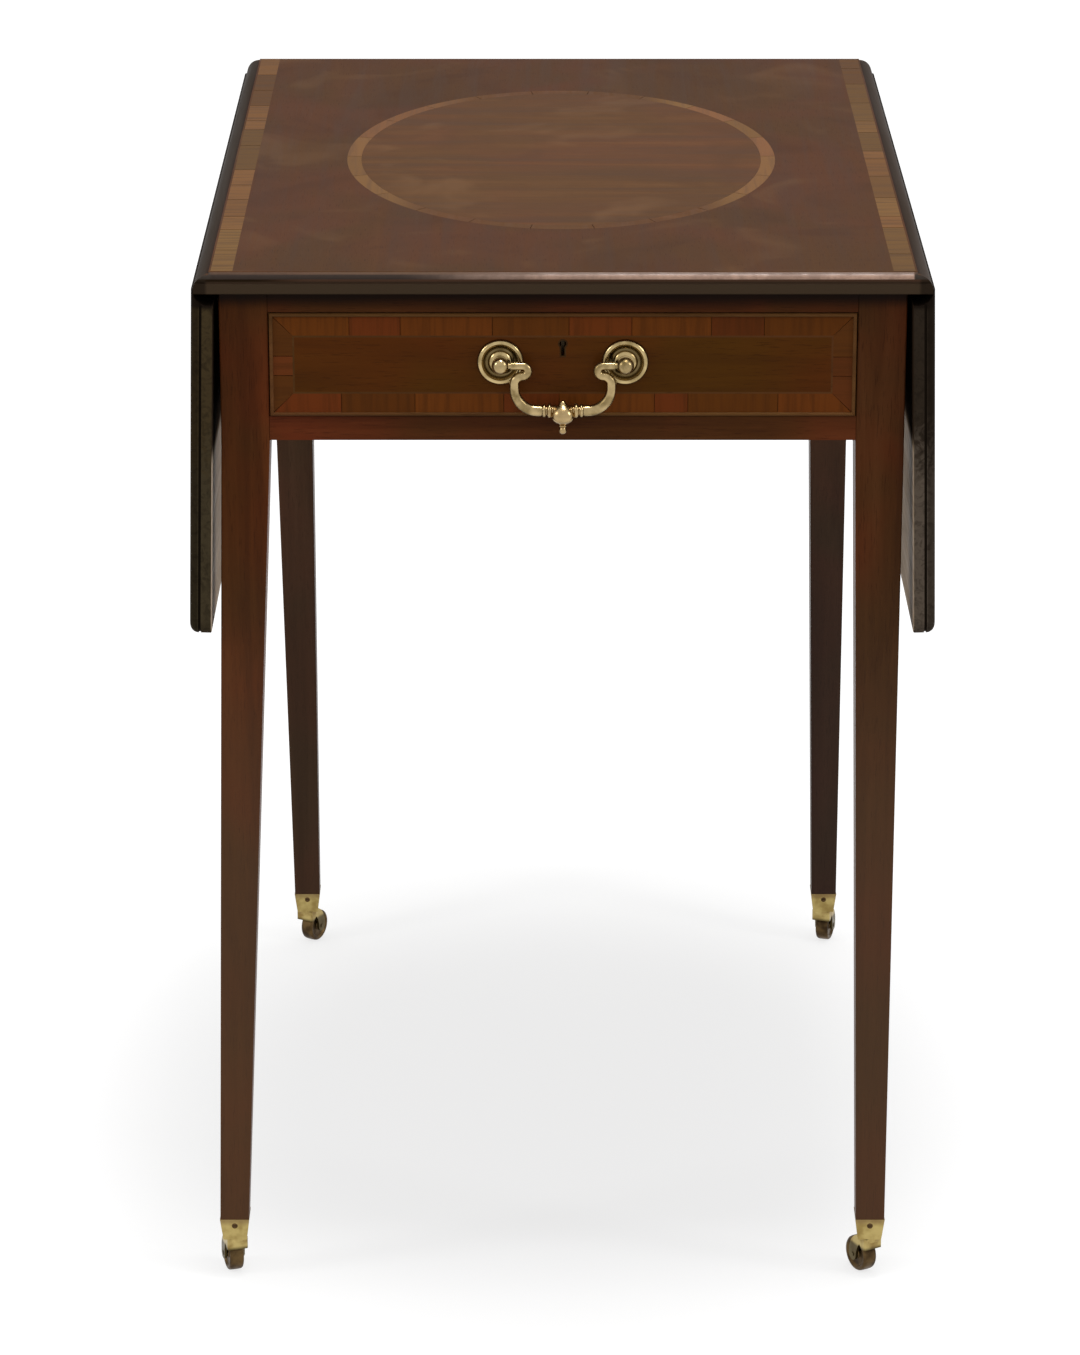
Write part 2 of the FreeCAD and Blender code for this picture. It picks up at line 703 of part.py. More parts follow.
def handle_bail():
    """Swan-neck bail hanging from the knobs, with a turned drop in the middle."""

    def at(x, z):
        return V(x, pivot_y, handle_z + z)

    slant = math.sqrt(0.5)
    knob_face = HANDLE_SPACING / 2 - KNOB_RADIUS
    start = at(knob_face - KNOB_CLEAR, 0)
    hook_top = at(HOOK_CENTRE, 0)
    hook_mid = at(HOOK_CENTRE - HOOK_RADIUS, -HOOK_RADIUS)
    hook_low = at(HOOK_CENTRE, -2 * HOOK_RADIUS)
    neck_mid = at(HOOK_CENTRE + NECK_BEND * slant, -2 * HOOK_RADIUS - NECK_BEND * (1 - slant))
    side_x = HOOK_CENTRE + NECK_BEND
    neck_low = at(side_x, -2 * HOOK_RADIUS - NECK_BEND)
    bend_z = CORNER_BEND - BAIL_DROP
    side_low = at(side_x, bend_z)
    bend_x = side_x - CORNER_BEND
    bend_mid = at(bend_x + CORNER_BEND * slant, bend_z - CORNER_BEND * slant)
    bend_low = at(bend_x, -BAIL_DROP)
    middle = at(0, -BAIL_DROP)
    path = Part.Wire([
        Part.makeLine(start, hook_top),
        Part.Arc(hook_top, hook_mid, hook_low).toShape(),
        Part.Arc(hook_low, neck_mid, neck_low).toShape(),
        Part.makeLine(neck_low, side_low),
        Part.Arc(side_low, bend_mid, bend_low).toShape(),
        Part.makeLine(bend_low, middle),
    ])
    thin = Part.Wire(Part.makeCircle(BAIL_END_RADIUS, start, ALONG_X))
    thick = Part.Wire(Part.makeCircle(BAIL_MID_RADIUS, middle, ALONG_X))
    arm = path.makePipeShell([thin, thick], True, True)
    pin_end = at(knob_face + PIN_DEPTH, 0)
    pin = rod(BAIL_PIN_RADIUS, start - V(BAIL_PIN_RADIUS / 4, 0, 0), pin_end)
    half = COLLAR_LENGTH / 2
    edge = COLLAR_RADIUS - half / 2
    collar_profile = [(0, -half), (edge, -half), ((COLLAR_RADIUS, 0), (edge, half)), (0, half)]
    ring = turned(collar_profile, at(COLLAR_PLACE, -BAIL_DROP), ALONG_X)
    ball_h = DROP_HEIGHT - DROP_BALL
    waist_h = ball_h - math.sqrt(DROP_BALL ** 2 - DROP_WAIST ** 2)
    swell = [(0.33, 0.12), (0.62, 0.22), (0.93, 0.38), (1.0, 0.54), (0.88, 0.68), (0.52, 0.82)]
    drop_profile = [
        (0, 0),
        (DROP_RADIUS * 0.2, 0),
        [(DROP_RADIUS * wide, waist_h * high) for wide, high in swell] + [(DROP_WAIST, waist_h)],
        ((DROP_BALL, ball_h), (0, DROP_HEIGHT)),
    ]
    drop = turned(drop_profile, at(0, DROP_RISE - BAIL_DROP), V(0, 0, -1))
    right = arm.fuse(pin).fuse(ring)
    return right.fuse(mirrored(right)).fuse(drop).removeSplitter()


def keyhole(grow, y0, y1):
    """Keyhole in the drawer face: a round hole over a narrow slot."""
    z = handle_z + KEYHOLE_RAISE
    radius = KEYHOLE_RADIUS + grow
    half = KEYHOLE_SLOT / 2 + grow
    hole = rod(radius, V(0, y0, z), V(0, y1, z))
    return hole.fuse(box(-half, half, y0, y1, z - KEYHOLE_TAIL - grow, z))


def dovetails(y_root, y_tip, z0, z1):
    """Tails of the right drawer side between two heights, wider at the tip."""
    pitch = (z1 - z0) / TAIL_COUNT
    half = min(TAIL_HALF, pitch / 2 - TAIL_FLARE - 1)
    tails = []
    for n in range(TAIL_COUNT):
        z = z0 + pitch * (n + 0.5)
        wide = half + TAIL_FLARE
        x = drawer_x - DRAWER_SIDE_THICK
        places = [(y_root, -half), (y_tip, -wide), (y_tip, wide), (y_root, half)]
        path = [V(x, y, z + rise) for y, rise in places]
        tails.append(prism(path, V(DRAWER_SIDE_THICK, 0, 0)))
    return tails


def build_drawer():
    side_in_x = drawer_x - DRAWER_SIDE_THICK
    back_y = drawer_back_y - DRAWER_BACK_THICK
    groove_x = side_in_x + GROOVE_DEPTH
    bottom = box(-groove_x, groove_x, front_in_y - GROOVE_DEPTH, drawer_back_y, bottom_z0, bottom_z1)

    side = box(side_in_x, drawer_x, front_in_y, back_y, drawer_z0, side_top_z)
    toe = box(side_in_x, drawer_x, back_y, drawer_back_y, drawer_z0, bottom_z1)
    front_tails = dovetails(front_in_y, front_in_y - FRONT_TAIL, drawer_z0, side_top_z)
    back_tails = dovetails(back_y, drawer_back_y, bottom_z1, back_top_z)
    side_right = side.fuse([toe] + front_tails + back_tails).cut(bottom).removeSplitter()
    side_left = mirrored(side_right)
    back = box(-drawer_x, drawer_x, back_y, drawer_back_y, bottom_z1, back_top_z)
    back = back.cut([side_right, side_left])

    beads, bands, lines = face_trim()
    lock_y = front_in_y - LOCK_DEPTH
    lock_z = drawer_z1 - LOCK_DROP
    half = LOCK_WIDTH / 2
    case = box(-half, half, lock_y, front_in_y, lock_z - LOCK_HEIGHT, lock_z)
    mid_y = lock_y + LOCK_DEPTH / 2
    bolt_y0 = mid_y - LOCK_BOLT_THICK / 2
    bolt_low = lock_z - LOCK_HEIGHT / 3
    bolt = box(-LOCK_BOLT / 2, LOCK_BOLT / 2, bolt_y0, bolt_y0 + LOCK_BOLT_THICK, bolt_low, drawer_z1)
    plate = keyhole(ESCUTCHEON_WALL, -leg_y, -leg_y + ESCUTCHEON_DEPTH)
    key_cut = keyhole(0, -leg_y - 1, lock_y)

    front = box(-drawer_x, drawer_x, -leg_y, front_in_y, drawer_z0, drawer_z1)
    cuts = [side_right, side_left, bottom, case, bolt, plate, key_cut]
    cuts = cuts + beads + bands + lines + bolt_holes(DRAWER_FRONT_THICK)
    save("drawer_front", [front.cut(cuts)])
    save("drawer_cockbeading", beads)
    save("drawer_crossbanding", bands)
    save("drawer_stringing", lines)
    save("drawer_side_right", [side_right])
    save("drawer_side_left", [side_left])
    save("drawer_back", [back])
    save("drawer_bottom", [bottom])
    save("drawer_lock", [case.cut(bolt), bolt])
    save("keyhole_escutcheon", [plate.cut(key_cut)])
    save("drawer_handle_rosettes", handle_rosettes())
    save("drawer_handle_bolts", handle_bolts(DRAWER_FRONT_THICK))
    save("drawer_handle_bail", [handle_bail()])


def build_frame(screw_places, outer_right):
    top_rail = cross_rail(opening_z1, under_z)
    drawer_rail = cross_rail(frieze_z, opening_z0)
    inner_right = side_rail(rail_in_x, rail_mid_x)

    # The back has a rail with the bead, inlay and handle of the drawer front.
    rear_y = leg_y - REAR_RAIL_THICK
    rear = box(-leg_in_x, leg_in_x, rear_y, leg_y, frieze_z, under_z)
    inset = 3 * TENON_SHOULDER
    end_x = leg_in_x + TENON_LENGTH
    tenon_y = leg_y - FACE_SHOULDER
    rear_tenon = box(-end_x, end_x, tenon_y - front_tenon, tenon_y, frieze_z + inset, under_z - inset)
    trim = [[half_turn(strip) for strip in strips] for strips in face_trim()]
    rear_beads, rear_bands, rear_lines = trim
    holes = [half_turn(hole) for hole in bolt_holes(REAR_RAIL_THICK)]
    rear = rear.fuse(rear_tenon).cut(rear_beads + rear_bands + rear_lines + holes)

    runner_x = rail_in_x - RUNNER_WIDTH
    rail_back_y = -leg_y + FRONT_RAIL_DEPTH
    runner = box(runner_x, rail_in_x, rail_back_y, leg_in_y, opening_z0 - RUNNER_THICK, opening_z0)
    guide = box(leg_in_x, rail_in_x, rail_back_y, leg_in_y, opening_z0, opening_z0 + GUIDE_HEIGHT)
    runner = runner.fuse(guide).removeSplitter()
    kicker = box(runner_x, rail_in_x, rail_back_y, leg_in_y, opening_z1, under_z)
    stop_y = front_in_y + STOP_GAP
    stop_x = STOP_OFFSET + STOP_WIDTH
    stop_z = opening_z0 + STOP_HEIGHT
    stop = box(STOP_OFFSET, stop_x, stop_y, stop_y + STOP_DEPTH, opening_z0, stop_z)

    screw_cuts = [top_screw_hole(place) for place in screw_places]
    save("front_top_rail", [top_rail.cut(screw_cuts)])
    save("front_drawer_rail", [drawer_rail])
    save("rear_frieze_rail", [rear])
    save("rear_cockbeading", rear_beads)
    save("rear_crossbanding", rear_bands)
    save("rear_stringing", rear_lines)
    save("rear_handle_rosettes", [half_turn(item) for item in handle_rosettes()])
    save("rear_handle_bolts", [half_turn(item) for item in handle_bolts(REAR_RAIL_THICK)])
    save("rear_handle_bail", [half_turn(handle_bail())])
    save("side_inner_rail_right", [inner_right])
    save("side_inner_rail_left", [mirrored(inner_right)])
    save("side_outer_rail_right", [outer_right])
    save("side_outer_rail_left", [mirrored(outer_right)])
    save("drawer_runners", [runner, mirrored(runner)])
    save("drawer_kickers", [kicker.cut(screw_cuts), mirrored(kicker).cut(screw_cuts)])
    save("drawer_stops", [stop, mirrored(stop)])
    rails = [top_rail, drawer_rail, rear, inner_right, outer_right]
    return rails + [mirrored(inner_right), mirrored(outer_right)]


def cup_width(z):
    """Outer width of the castor cup at a height."""
    top = LEG_FOOT + 2 * CUP_PROUD
    return CUP_FOOT + (top - CUP_FOOT) * (z - cup_z) / CUP_HEIGHT


def cup_solid(z0, z1, inset):
    low = square(foot_x, foot_y, cup_width(z0) - 2 * inset, z0)
    high = square(foot_x, foot_y, cup_width(z1) - 2 * inset, z1)
    return Part.makeLoft([low, high], True, True)


def cup_screw_places():
    z = foot_z - CUP_SCREW_DROP
    half = cup_width(z) / 2
    return [(V(foot_x, foot_y - half, z), ALONG_Y), (V(foot_x, foot_y + half, z), OUT_FRONT)]


def square_leg(splay):
    """Rear right leg: square beside the frieze, then tapering to a foot that stands out by splay."""
    block = box(leg_in_x, leg_x, leg_in_y, leg_y, frieze_z, under_z)
    high = square(leg_x - LEG_TOP / 2, leg_y - LEG_TOP / 2, LEG_TOP, frieze_z)
    low = square(foot_x + splay, foot_y, LEG_FOOT, foot_z)
    taper = Part.makeLoft([low, high], True, True)
    spigot = cup_solid(cup_z + CUP_FLOOR + SPIGOT_ROOM, foot_z, CUP_WALL + SPIGOT_FIT)
    spigot.translate(V(splay, 0, 0))
    return block.fuse([taper, spigot]).removeSplitter()


def horn_apron(half):
    """Solid front of the horn that joins the cheeks and follows the wheel with a clear gap."""
    clear = WHEEL_RADIUS + WHEEL_HEAD_GAP
    front = HORN_RADIUS * 0.85
    back = HORN_RADIUS * 0.6
    low_z = yoke_z - HORN_APRON
    low_x = TRAIL - math.sqrt(clear ** 2 - (low_z - WHEEL_RADIUS) ** 2)
    high_z = WHEEL_RADIUS + math.sqrt(clear ** 2 - (TRAIL - back) ** 2)
    slant = math.sqrt(0.5)

    def at(x, z):
        return V(x, -half, z)

    path = [
        at(-front, yoke_z + HORN_PLATE),
        at(-front * 0.9, low_z),
        at(low_x, low_z),
        (at(TRAIL - clear * slant, WHEEL_RADIUS + clear * slant), at(back, high_z)),
        at(back, yoke_z + HORN_PLATE),
    ]
    block = prism(path, V(0, 2 * half, 0))
    return block.common(rod(HORN_RADIUS + HORN_CORNER, ORIGIN, V(0, 0, cup_z)))


def castor_horn():
    """Swivel horn with its stem, trailing along +X from the stem at the origin."""
    yoke_top = yoke_z + HORN_PLATE
    floor_top = cup_z + CUP_FLOOR
    head = floor_top + SWIVEL_GAP
    profile = [
        (0, yoke_z),
        (HORN_RADIUS, yoke_z),
        (HORN_RADIUS, yoke_top),
        (STEM_RADIUS, yoke_top),
        (STEM_RADIUS, head),
        (RIVET_RADIUS, head),
        (RIVET_RADIUS, head + RIVET_THICK),
        (0, head + RIVET_THICK),
    ]
    horn = turned(profile, ORIGIN, UP)
    inner = WHEEL_WIDTH / 2 + CHEEK_GAP
    outer = inner + CHEEK_THICK
    for side in (inner, -outer):
        def at(x, z):
            return V(x, side, z)
        path = [
            at(-HORN_RADIUS * 0.6, yoke_z),
            at(-HORN_RADIUS * 0.6, yoke_top),
            at(HORN_RADIUS * 0.6, yoke_top),
            (at(TRAIL + AXLE_BOSS * 0.4, yoke_z - HORN_PLATE), at(TRAIL + AXLE_BOSS, WHEEL_RADIUS)),
            (at(TRAIL, WHEEL_RADIUS - AXLE_BOSS), at(TRAIL - AXLE_BOSS, WHEEL_RADIUS)),
            (at(TRAIL - AXLE_BOSS * 1.5, yoke_z - 2 * HORN_PLATE), at(-HORN_RADIUS * 0.3, yoke_z)),
        ]
        horn = horn.fuse(prism(path, V(0, CHEEK_THICK, 0)))
    horn = horn.fuse(horn_apron(outer))
    axle = rod(AXLE_RADIUS, V(TRAIL, -outer - 0.4, WHEEL_RADIUS), V(TRAIL, outer + 0.4, WHEEL_RADIUS))
    return [horn.cut(axle).removeSplitter(), axle]


def castor_wheel():
    half = WHEEL_WIDTH / 2
    bore = AXLE_RADIUS + AXLE_FIT
    rim = WHEEL_RADIUS - WHEEL_ROUND
    bend = WHEEL_RADIUS - WHEEL_ROUND * (1 - math.sqrt(0.5))
    flat = half - WHEEL_ROUND
    swing = half - WHEEL_ROUND * (1 - math.sqrt(0.5))
    profile = [
        (bore, -half),
        (rim, -half),
        ((bend, -swing), (WHEEL_RADIUS, -flat)),
        (WHEEL_RADIUS, flat),
        ((bend, swing), (rim, half)),
        (bore, half),
    ]
    return turned(profile, V(TRAIL, 0, WHEEL_RADIUS), ALONG_Y)


def build_legs(rails):
    cup = cup_solid(cup_z, foot_z, 0).cut(cup_solid(cup_z + CUP_FLOOR, foot_z, CUP_WALL))
    stem_low = V(foot_x, foot_y, cup_z - 1)
    stem_high = V(foot_x, foot_y, cup_z + CUP_FLOOR + 1)
    stem = rod(STEM_RADIUS + STEM_FIT, stem_low, stem_high)
    kind = (CUP_SCREW_HEAD, CUP_SCREW_SHANK, CUP_SCREW_LENGTH)
    holes = [screw_hole(place, axis, *kind) for place, axis in cup_screw_places()]
    screws = [screw(place, axis, *kind) for place, axis in cup_screw_places()]
    cup = cup.cut([stem] + holes)
    horn = castor_horn()
    wheel = castor_wheel()
    cups = []
    cup_screws = []
    for name, side_x, side_y in (
            ("front_left", -1, -1), ("front_right", 1, -1), ("rear_left", -1, 1), ("rear_right", 1, 1)):
        splay = side_x * FOOT_DRIFT[name]

        def splayed(shape):
            copy = shape.copy()
            copy.translate(V(splay, 0, 0))
            return copy

        def to_corner(shape):
            moved = shape if side_x > 0 else mirrored(shape)
            return moved if side_y > 0 else moved.mirror(ORIGIN, ALONG_Y)

        def to_foot(shape):
            copy = shape.copy()
            copy.rotate(ORIGIN, UP, CASTOR_TURN[name])
            copy.translate(V(side_x * (foot_x + splay), side_y * foot_y, 0))
            return copy

        leg = square_leg(splay).cut([splayed(hole) for hole in holes])
        save("leg_" + name, [to_corner(leg).cut(rails)])
        cups.append(to_corner(splayed(cup)))
        cup_screws.extend([to_corner(splayed(item)) for item in screws])
        save("castor_horn_" + name, [to_foot(item) for item in horn])
        save("castor_wheel_" + name, [to_foot(wheel)])
    save("castor_cups", cups)
    save("castor_cup_screws", cup_screws)


os.makedirs("parts", exist_ok=True)
leaf_hinges = [hinge_parts(place) for place in (-hinge_y, 0, hinge_y)]
fixing_places = top_screw_places()
build_top(leaf_hinges, fixing_places)
build_leaves(leaf_hinges)
right_outer_rail, fly_pins = build_side_rails()
build_top_hinges(leaf_hinges, fixing_places, fly_pins)
frame_rails = build_frame(fixing_places, right_outer_rail)
build_legs(frame_rails)
build_drawer()
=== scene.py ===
# %% [markdown]
# # A pembroke table
# This lesson dresses the solid model of a small drop-leaf table: old mahogany, crossbanded edges,
# an inlaid oval, a frieze drawer with a swan-neck handle, and brass castors. The solid model gives
# the main sizes, so each step only finishes a surface or replaces a plain solid by a finer one.

# %% Load the solid model
import json
import math

import bmesh
import bpy
from mathutils import Matrix, Vector

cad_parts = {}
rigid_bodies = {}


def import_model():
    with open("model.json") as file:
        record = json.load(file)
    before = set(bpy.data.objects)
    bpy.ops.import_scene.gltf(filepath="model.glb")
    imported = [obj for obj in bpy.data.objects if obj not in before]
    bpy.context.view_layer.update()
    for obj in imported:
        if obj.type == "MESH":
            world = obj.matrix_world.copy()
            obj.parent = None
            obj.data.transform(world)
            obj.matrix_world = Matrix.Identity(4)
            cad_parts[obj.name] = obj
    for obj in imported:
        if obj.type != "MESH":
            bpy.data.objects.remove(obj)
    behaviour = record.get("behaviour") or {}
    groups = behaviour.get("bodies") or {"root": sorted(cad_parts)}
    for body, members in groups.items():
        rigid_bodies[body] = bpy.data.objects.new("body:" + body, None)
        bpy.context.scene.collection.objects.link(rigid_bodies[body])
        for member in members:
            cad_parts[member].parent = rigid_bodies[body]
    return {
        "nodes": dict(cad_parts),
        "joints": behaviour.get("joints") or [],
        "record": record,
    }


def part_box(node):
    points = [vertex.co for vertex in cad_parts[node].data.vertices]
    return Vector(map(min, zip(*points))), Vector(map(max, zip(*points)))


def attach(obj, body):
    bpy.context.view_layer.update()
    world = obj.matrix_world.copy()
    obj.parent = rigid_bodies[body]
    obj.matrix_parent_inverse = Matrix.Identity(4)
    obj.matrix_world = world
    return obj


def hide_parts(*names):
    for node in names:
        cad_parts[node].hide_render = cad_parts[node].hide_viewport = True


for stray in list(bpy.data.objects):
    bpy.data.objects.remove(stray)
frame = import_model()
scene = bpy.context.scene
solids = frame["nodes"]
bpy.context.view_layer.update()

# %% [markdown]
# ## Camera
# The eye is about a metre and a half above the floor, in front of the drawer, looking down by some
# twenty degrees through a long lens, so the legs stay nearly upright. The place of the camera was
# fitted to the corners of the top and the feet; a long lens far away keeps that perspective.

# %% Place the camera
FOCAL_PIXELS = 5000
IMAGE_HEIGHT = 1355
SENSOR = 36.0
EYE = (-0.0147, -3.409, 1.538)
EYE_DROP = 19.51
lens = bpy.data.cameras.new("Camera")
lens.sensor_width = SENSOR
lens.lens = FOCAL_PIXELS / IMAGE_HEIGHT * SENSOR
lens.clip_end = 100
eye = bpy.data.objects.new("Camera", lens)
eye.location = EYE
eye.rotation_euler = (math.radians(90 - EYE_DROP), 0, 0)
scene.collection.objects.link(eye)
scene.camera = eye
print("lens in millimetres:", round(lens.lens, 1))

# %% [markdown]
# ## Helpers for node trees
# Finishes and repeated pieces are both node trees. One short function adds a node, sets its options
# and fills its inputs, either with a number or with the output of an earlier node.

# %% Add nodes, colours and numbers
def add(tree, kind, inputs=None, **options):
    made = tree.nodes.new(kind)
    for name, value in options.items():
        setattr(made, name, value)
    for name, value in (inputs or {}).items():
        if isinstance(value, bpy.types.NodeSocket):
            tree.links.new(value, made.inputs[name])
        else:
            made.inputs[name].default_value = value
    return made


def tone(red, green, blue):
    """A colour as it is seen, 0 to 255, turned into the linear colour that a shader takes."""
    linear = []
    for part in (red, green, blue):
        share = part / 255
        linear.append(share / 12.92 if share < 0.04045 else ((share + 0.055) / 1.055) ** 2.4)
    return (*linear, 1.0)


def sums(tree, operation, first, second=0.0):
    return add(tree, "ShaderNodeMath", {0: first, 1: second}, operation=operation).outputs[0]


def times(tree, first, second):
    return sums(tree, "MULTIPLY", first, second)


def ease(tree, value, low, high, start=0.0, end=1.0):
    """Smooth step of a value from low to high."""
    inputs = {0: value, 1: low, 2: high, 3: start, 4: end}
    return add(tree, "ShaderNodeMapRange", inputs, interpolation_type="SMOOTHSTEP").outputs[0]


def blend(tree, share, first, second):
    made = add(tree, "ShaderNodeMix", {0: share, 6: first, 7: second}, data_type="RGBA")
    return made.outputs[2]


def noise(tree, place, scale, detail=3.0, rough=0.55, bend=0.0):
    inputs = {"Vector": place, "Scale": scale, "Detail": detail, "Roughness": rough, "Distortion": bend}
    return add(tree, "ShaderNodeTexNoise", inputs).outputs[0]


def separate(tree, place):
    return add(tree, "ShaderNodeSeparateXYZ", {0: place}).outputs


def new_finish(name):
    finish = bpy.data.materials.new(name)
    finish.use_nodes = True
    tree = finish.node_tree
    tree.nodes.clear()
    shader = add(tree, "ShaderNodeBsdfPrincipled")
    add(tree, "ShaderNodeOutputMaterial", {"Surface": shader.outputs[0]})
    place = add(tree, "ShaderNodeTexCoord").outputs["Object"]
    return finish, tree, shader, place


def wire(tree, shader, **sockets):
    for name, value in sockets.items():
        target = shader.inputs[name.replace("_", " ")]
        if isinstance(value, bpy.types.NodeSocket):
            tree.links.new(value, target)
        else:
            target.default_value = value


def relief(tree, height, distance, strength=1.0):
    inputs = {"Height": height, "Distance": distance, "Strength": strength}
    return add(tree, "ShaderNodeBump", inputs).outputs[0]


def dress(finish, *names):
    for name in names:
        mesh = solids[name].data
        if not mesh.materials:
            mesh.materials.append(finish)
        for index in range(len(mesh.materials)):
            mesh.materials[index] = finish


print("node helpers ready")

# %% [markdown]
# ## Old mahogany
# Mahogany is a reddish brown wood with long streaks, short dark pores and slow changes of colour.
# Stretched noise gives the streaks: the coordinates are squeezed along the grain, so every spot of
# the noise becomes a fibre. A broad noise shifts the hue between red and olive, and a fine one cuts
# the pores. The same tree serves every board, turned to the way its grain runs.

# %% Build the mahogany finish
ALONG_GRAIN = 0.06
GRAIN_SCALE = {
    "X": (ALONG_GRAIN, 1, 1),
    "Y": (1, ALONG_GRAIN, 1),
    "Z": (1, 1, ALONG_GRAIN),
}
SHOW_ROUGH = 0.36
SHOW_GLEAM = 0.04
FIBRE_DEPTH = 0.00012


def wood_colour(tree, place, grain, tones, shift, figure):
    """Colour, fibre height and streaks of a board. figure says how strong the streaks are."""
    dark, red, olive, light = [tone(*part) for part in tones]
    own = add(tree, "ShaderNodeVectorMath", {0: place, 1: shift}, operation="ADD").outputs[0]
    fibre = add(tree, "ShaderNodeMapping", {"Vector": own, "Scale": GRAIN_SCALE[grain]}).outputs[0]
    cloud = noise(tree, own, 8.0, 2.0, 0.5, 0.5)
    streak = noise(tree, fibre, 70.0, 4.0, 0.6, 0.5)
    thread = noise(tree, fibre, 420.0, 3.0, 0.6)
    pore = noise(tree, fibre, 1500.0, 1.0, 0.5)
    body = blend(tree, ease(tree, cloud, 0.36, 0.66), olive, red)
    body = blend(tree, ease(tree, streak, 0.60, 0.30, 0.0, 0.8 * figure), body, dark)
    body = blend(tree, ease(tree, streak, 0.52, 0.80, 0.0, 0.7 * figure), body, light)
    body = blend(tree, ease(tree, thread, 0.52, 0.82, 0.0, 0.35 * figure), body, light)
    pores = ease(tree, pore, 0.60, 0.74, 0.0, 0.45)
    body = blend(tree, pores, body, dark)
    height = sums(tree, "SUBTRACT", times(tree, thread, 0.4), pores)
    return body, height, streak


def polish(tree, shader, colour, height, streak, rough, gleam):
    wire(tree, shader, Base_Color=colour, Specular_IOR_Level=gleam)
    wire(tree, shader, Roughness=ease(tree, streak, 0.25, 0.75, rough - 0.05, rough + 0.07))
    wire(tree, shader, Normal=relief(tree, height, FIBRE_DEPTH, 0.4))


def mahogany(name, grain, tones, rough=SHOW_ROUGH, gleam=SHOW_GLEAM, shift=(0, 0, 0), figure=0.6):
    finish, tree, shader, place = new_finish(name)
    colour, height, streak = wood_colour(tree, place, grain, tones, shift, figure)
    polish(tree, shader, colour, height, streak, rough, gleam)
    return finish


print("grain runs", round(1 / ALONG_GRAIN), "times as far along as across")

# %% [markdown]
# ## Shaping helpers
# Three ways of shaping give all the finer pieces. A skin is stretched through rings of points, a
# turned piece has one round ring for each step of its profile, and a settled piece is a finished
# mesh that moves with one body of the table and stands for the plain solids it replaces.

# %% Skin, turn and settle
UP = Vector((0, 0, 1))
MM = 0.001


def skin(rings, loop=False):
    """Points and faces through equal rings of points. The ends close, or meet when loop is set."""
    count = len(rings[0])
    points = [tuple(point) for ring in rings for point in ring]
    faces = []
    for low in range(len(rings) if loop else len(rings) - 1):
        high = (low + 1) % len(rings)
        for n in range(count):
            m = (n + 1) % count
            faces.append((low * count + n, low * count + m, high * count + m, high * count + n))
    if not loop:
        faces.append(tuple(range(count)))
        faces.append(tuple(range(len(points) - count, len(points))))
    return points, faces


def turned(profile, place, axis, steps=48, loop=False):
    """A turned shape. Each (radius, height) of the profile, in mm, makes a ring about the axis."""
    turn = UP.rotation_difference(Vector(axis))
    rings = []
    for radius, height in profile:
        ring = []
        for n in range(steps):
            angle = 2 * math.pi * n / steps
            spoke = Vector((radius * math.cos(angle), radius * math.sin(angle), height)) * MM
            ring.append(Vector(place) + turn @ spoke)
        rings.append(ring)
    return skin(rings, loop)


def shell(name, parts, finish, crease=38):
    """One mesh of several closed parts, smooth except where it bends by more than crease degrees."""
    points = []
    faces = []
    for part_points, part_faces in parts:
        base = len(points)
        points.extend(part_points)
        faces.extend([tuple(base + n for n in face) for face in part_faces])
    mesh = bpy.data.meshes.new(name)
    mesh.from_pydata(points, [], faces)
    work = bmesh.new()
    work.from_mesh(mesh)
    bmesh.ops.recalc_face_normals(work, faces=work.faces[:])
    work.to_mesh(mesh)
    work.free()
    mesh.shade_smooth()
    mesh.set_sharp_from_angle(angle=math.radians(crease))
    mesh.materials.append(finish)
    return mesh


def settle(name, mesh, body, slot, *nodes):
    piece = bpy.data.objects.new(name, mesh)
    scene.collection.objects.link(piece)
    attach(piece, body)
    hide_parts(*nodes)
    print(name, "has", len(mesh.polygons), "faces")


print("shaping helpers ready")

# %% [markdown]
# ## Legs and rails
# A square leg is never quite sharp: hands and dusters round its corners. Each leg is drawn again as
# a skin through rounded squares, level beside the frieze and then tapering to the foot above its
# castor. The flat faces stay flat and only the corner strips are shaded smooth. Low down the polish
# is dull and dusty, so the red fades towards the floor.

# %% Draw the legs
LEG_TOP = 31.5 * MM
LEG_FOOT = 19.5 * MM
CORNER_ROUND = 0.9 * MM
CORNER_STEPS = 3
DUST_STARTS = 0.58
DUST_FULL = 0.25
# Painted shade under the overhang of the top.
UNDER_TOP_PAINTED_SHADE = tone(20, 14, 11)
foot_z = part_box("castor_cups")[1].z
frieze_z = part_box("front_drawer_rail")[0].z
under_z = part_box("top_panel")[0].z
leg_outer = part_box("leg_front_right")[1].x
frieze_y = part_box("drawer_front")[0].y
joints = {row["name"]: row for row in frame["joints"]}


def rounded_square(centre, size, z):
    ring = []
    flat = size / 2 - CORNER_ROUND
    for corner, (sx, sy) in enumerate([(1, 1), (-1, 1), (-1, -1), (1, -1)]):
        for step in range(CORNER_STEPS + 1):
            angle = math.pi / 2 * (corner + step / CORNER_STEPS)
            x = centre[0] + sx * flat + CORNER_ROUND * math.cos(angle)
            y = centre[1] + sy * flat + CORNER_ROUND * math.sin(angle)
            ring.append((x, y, z))
    return ring


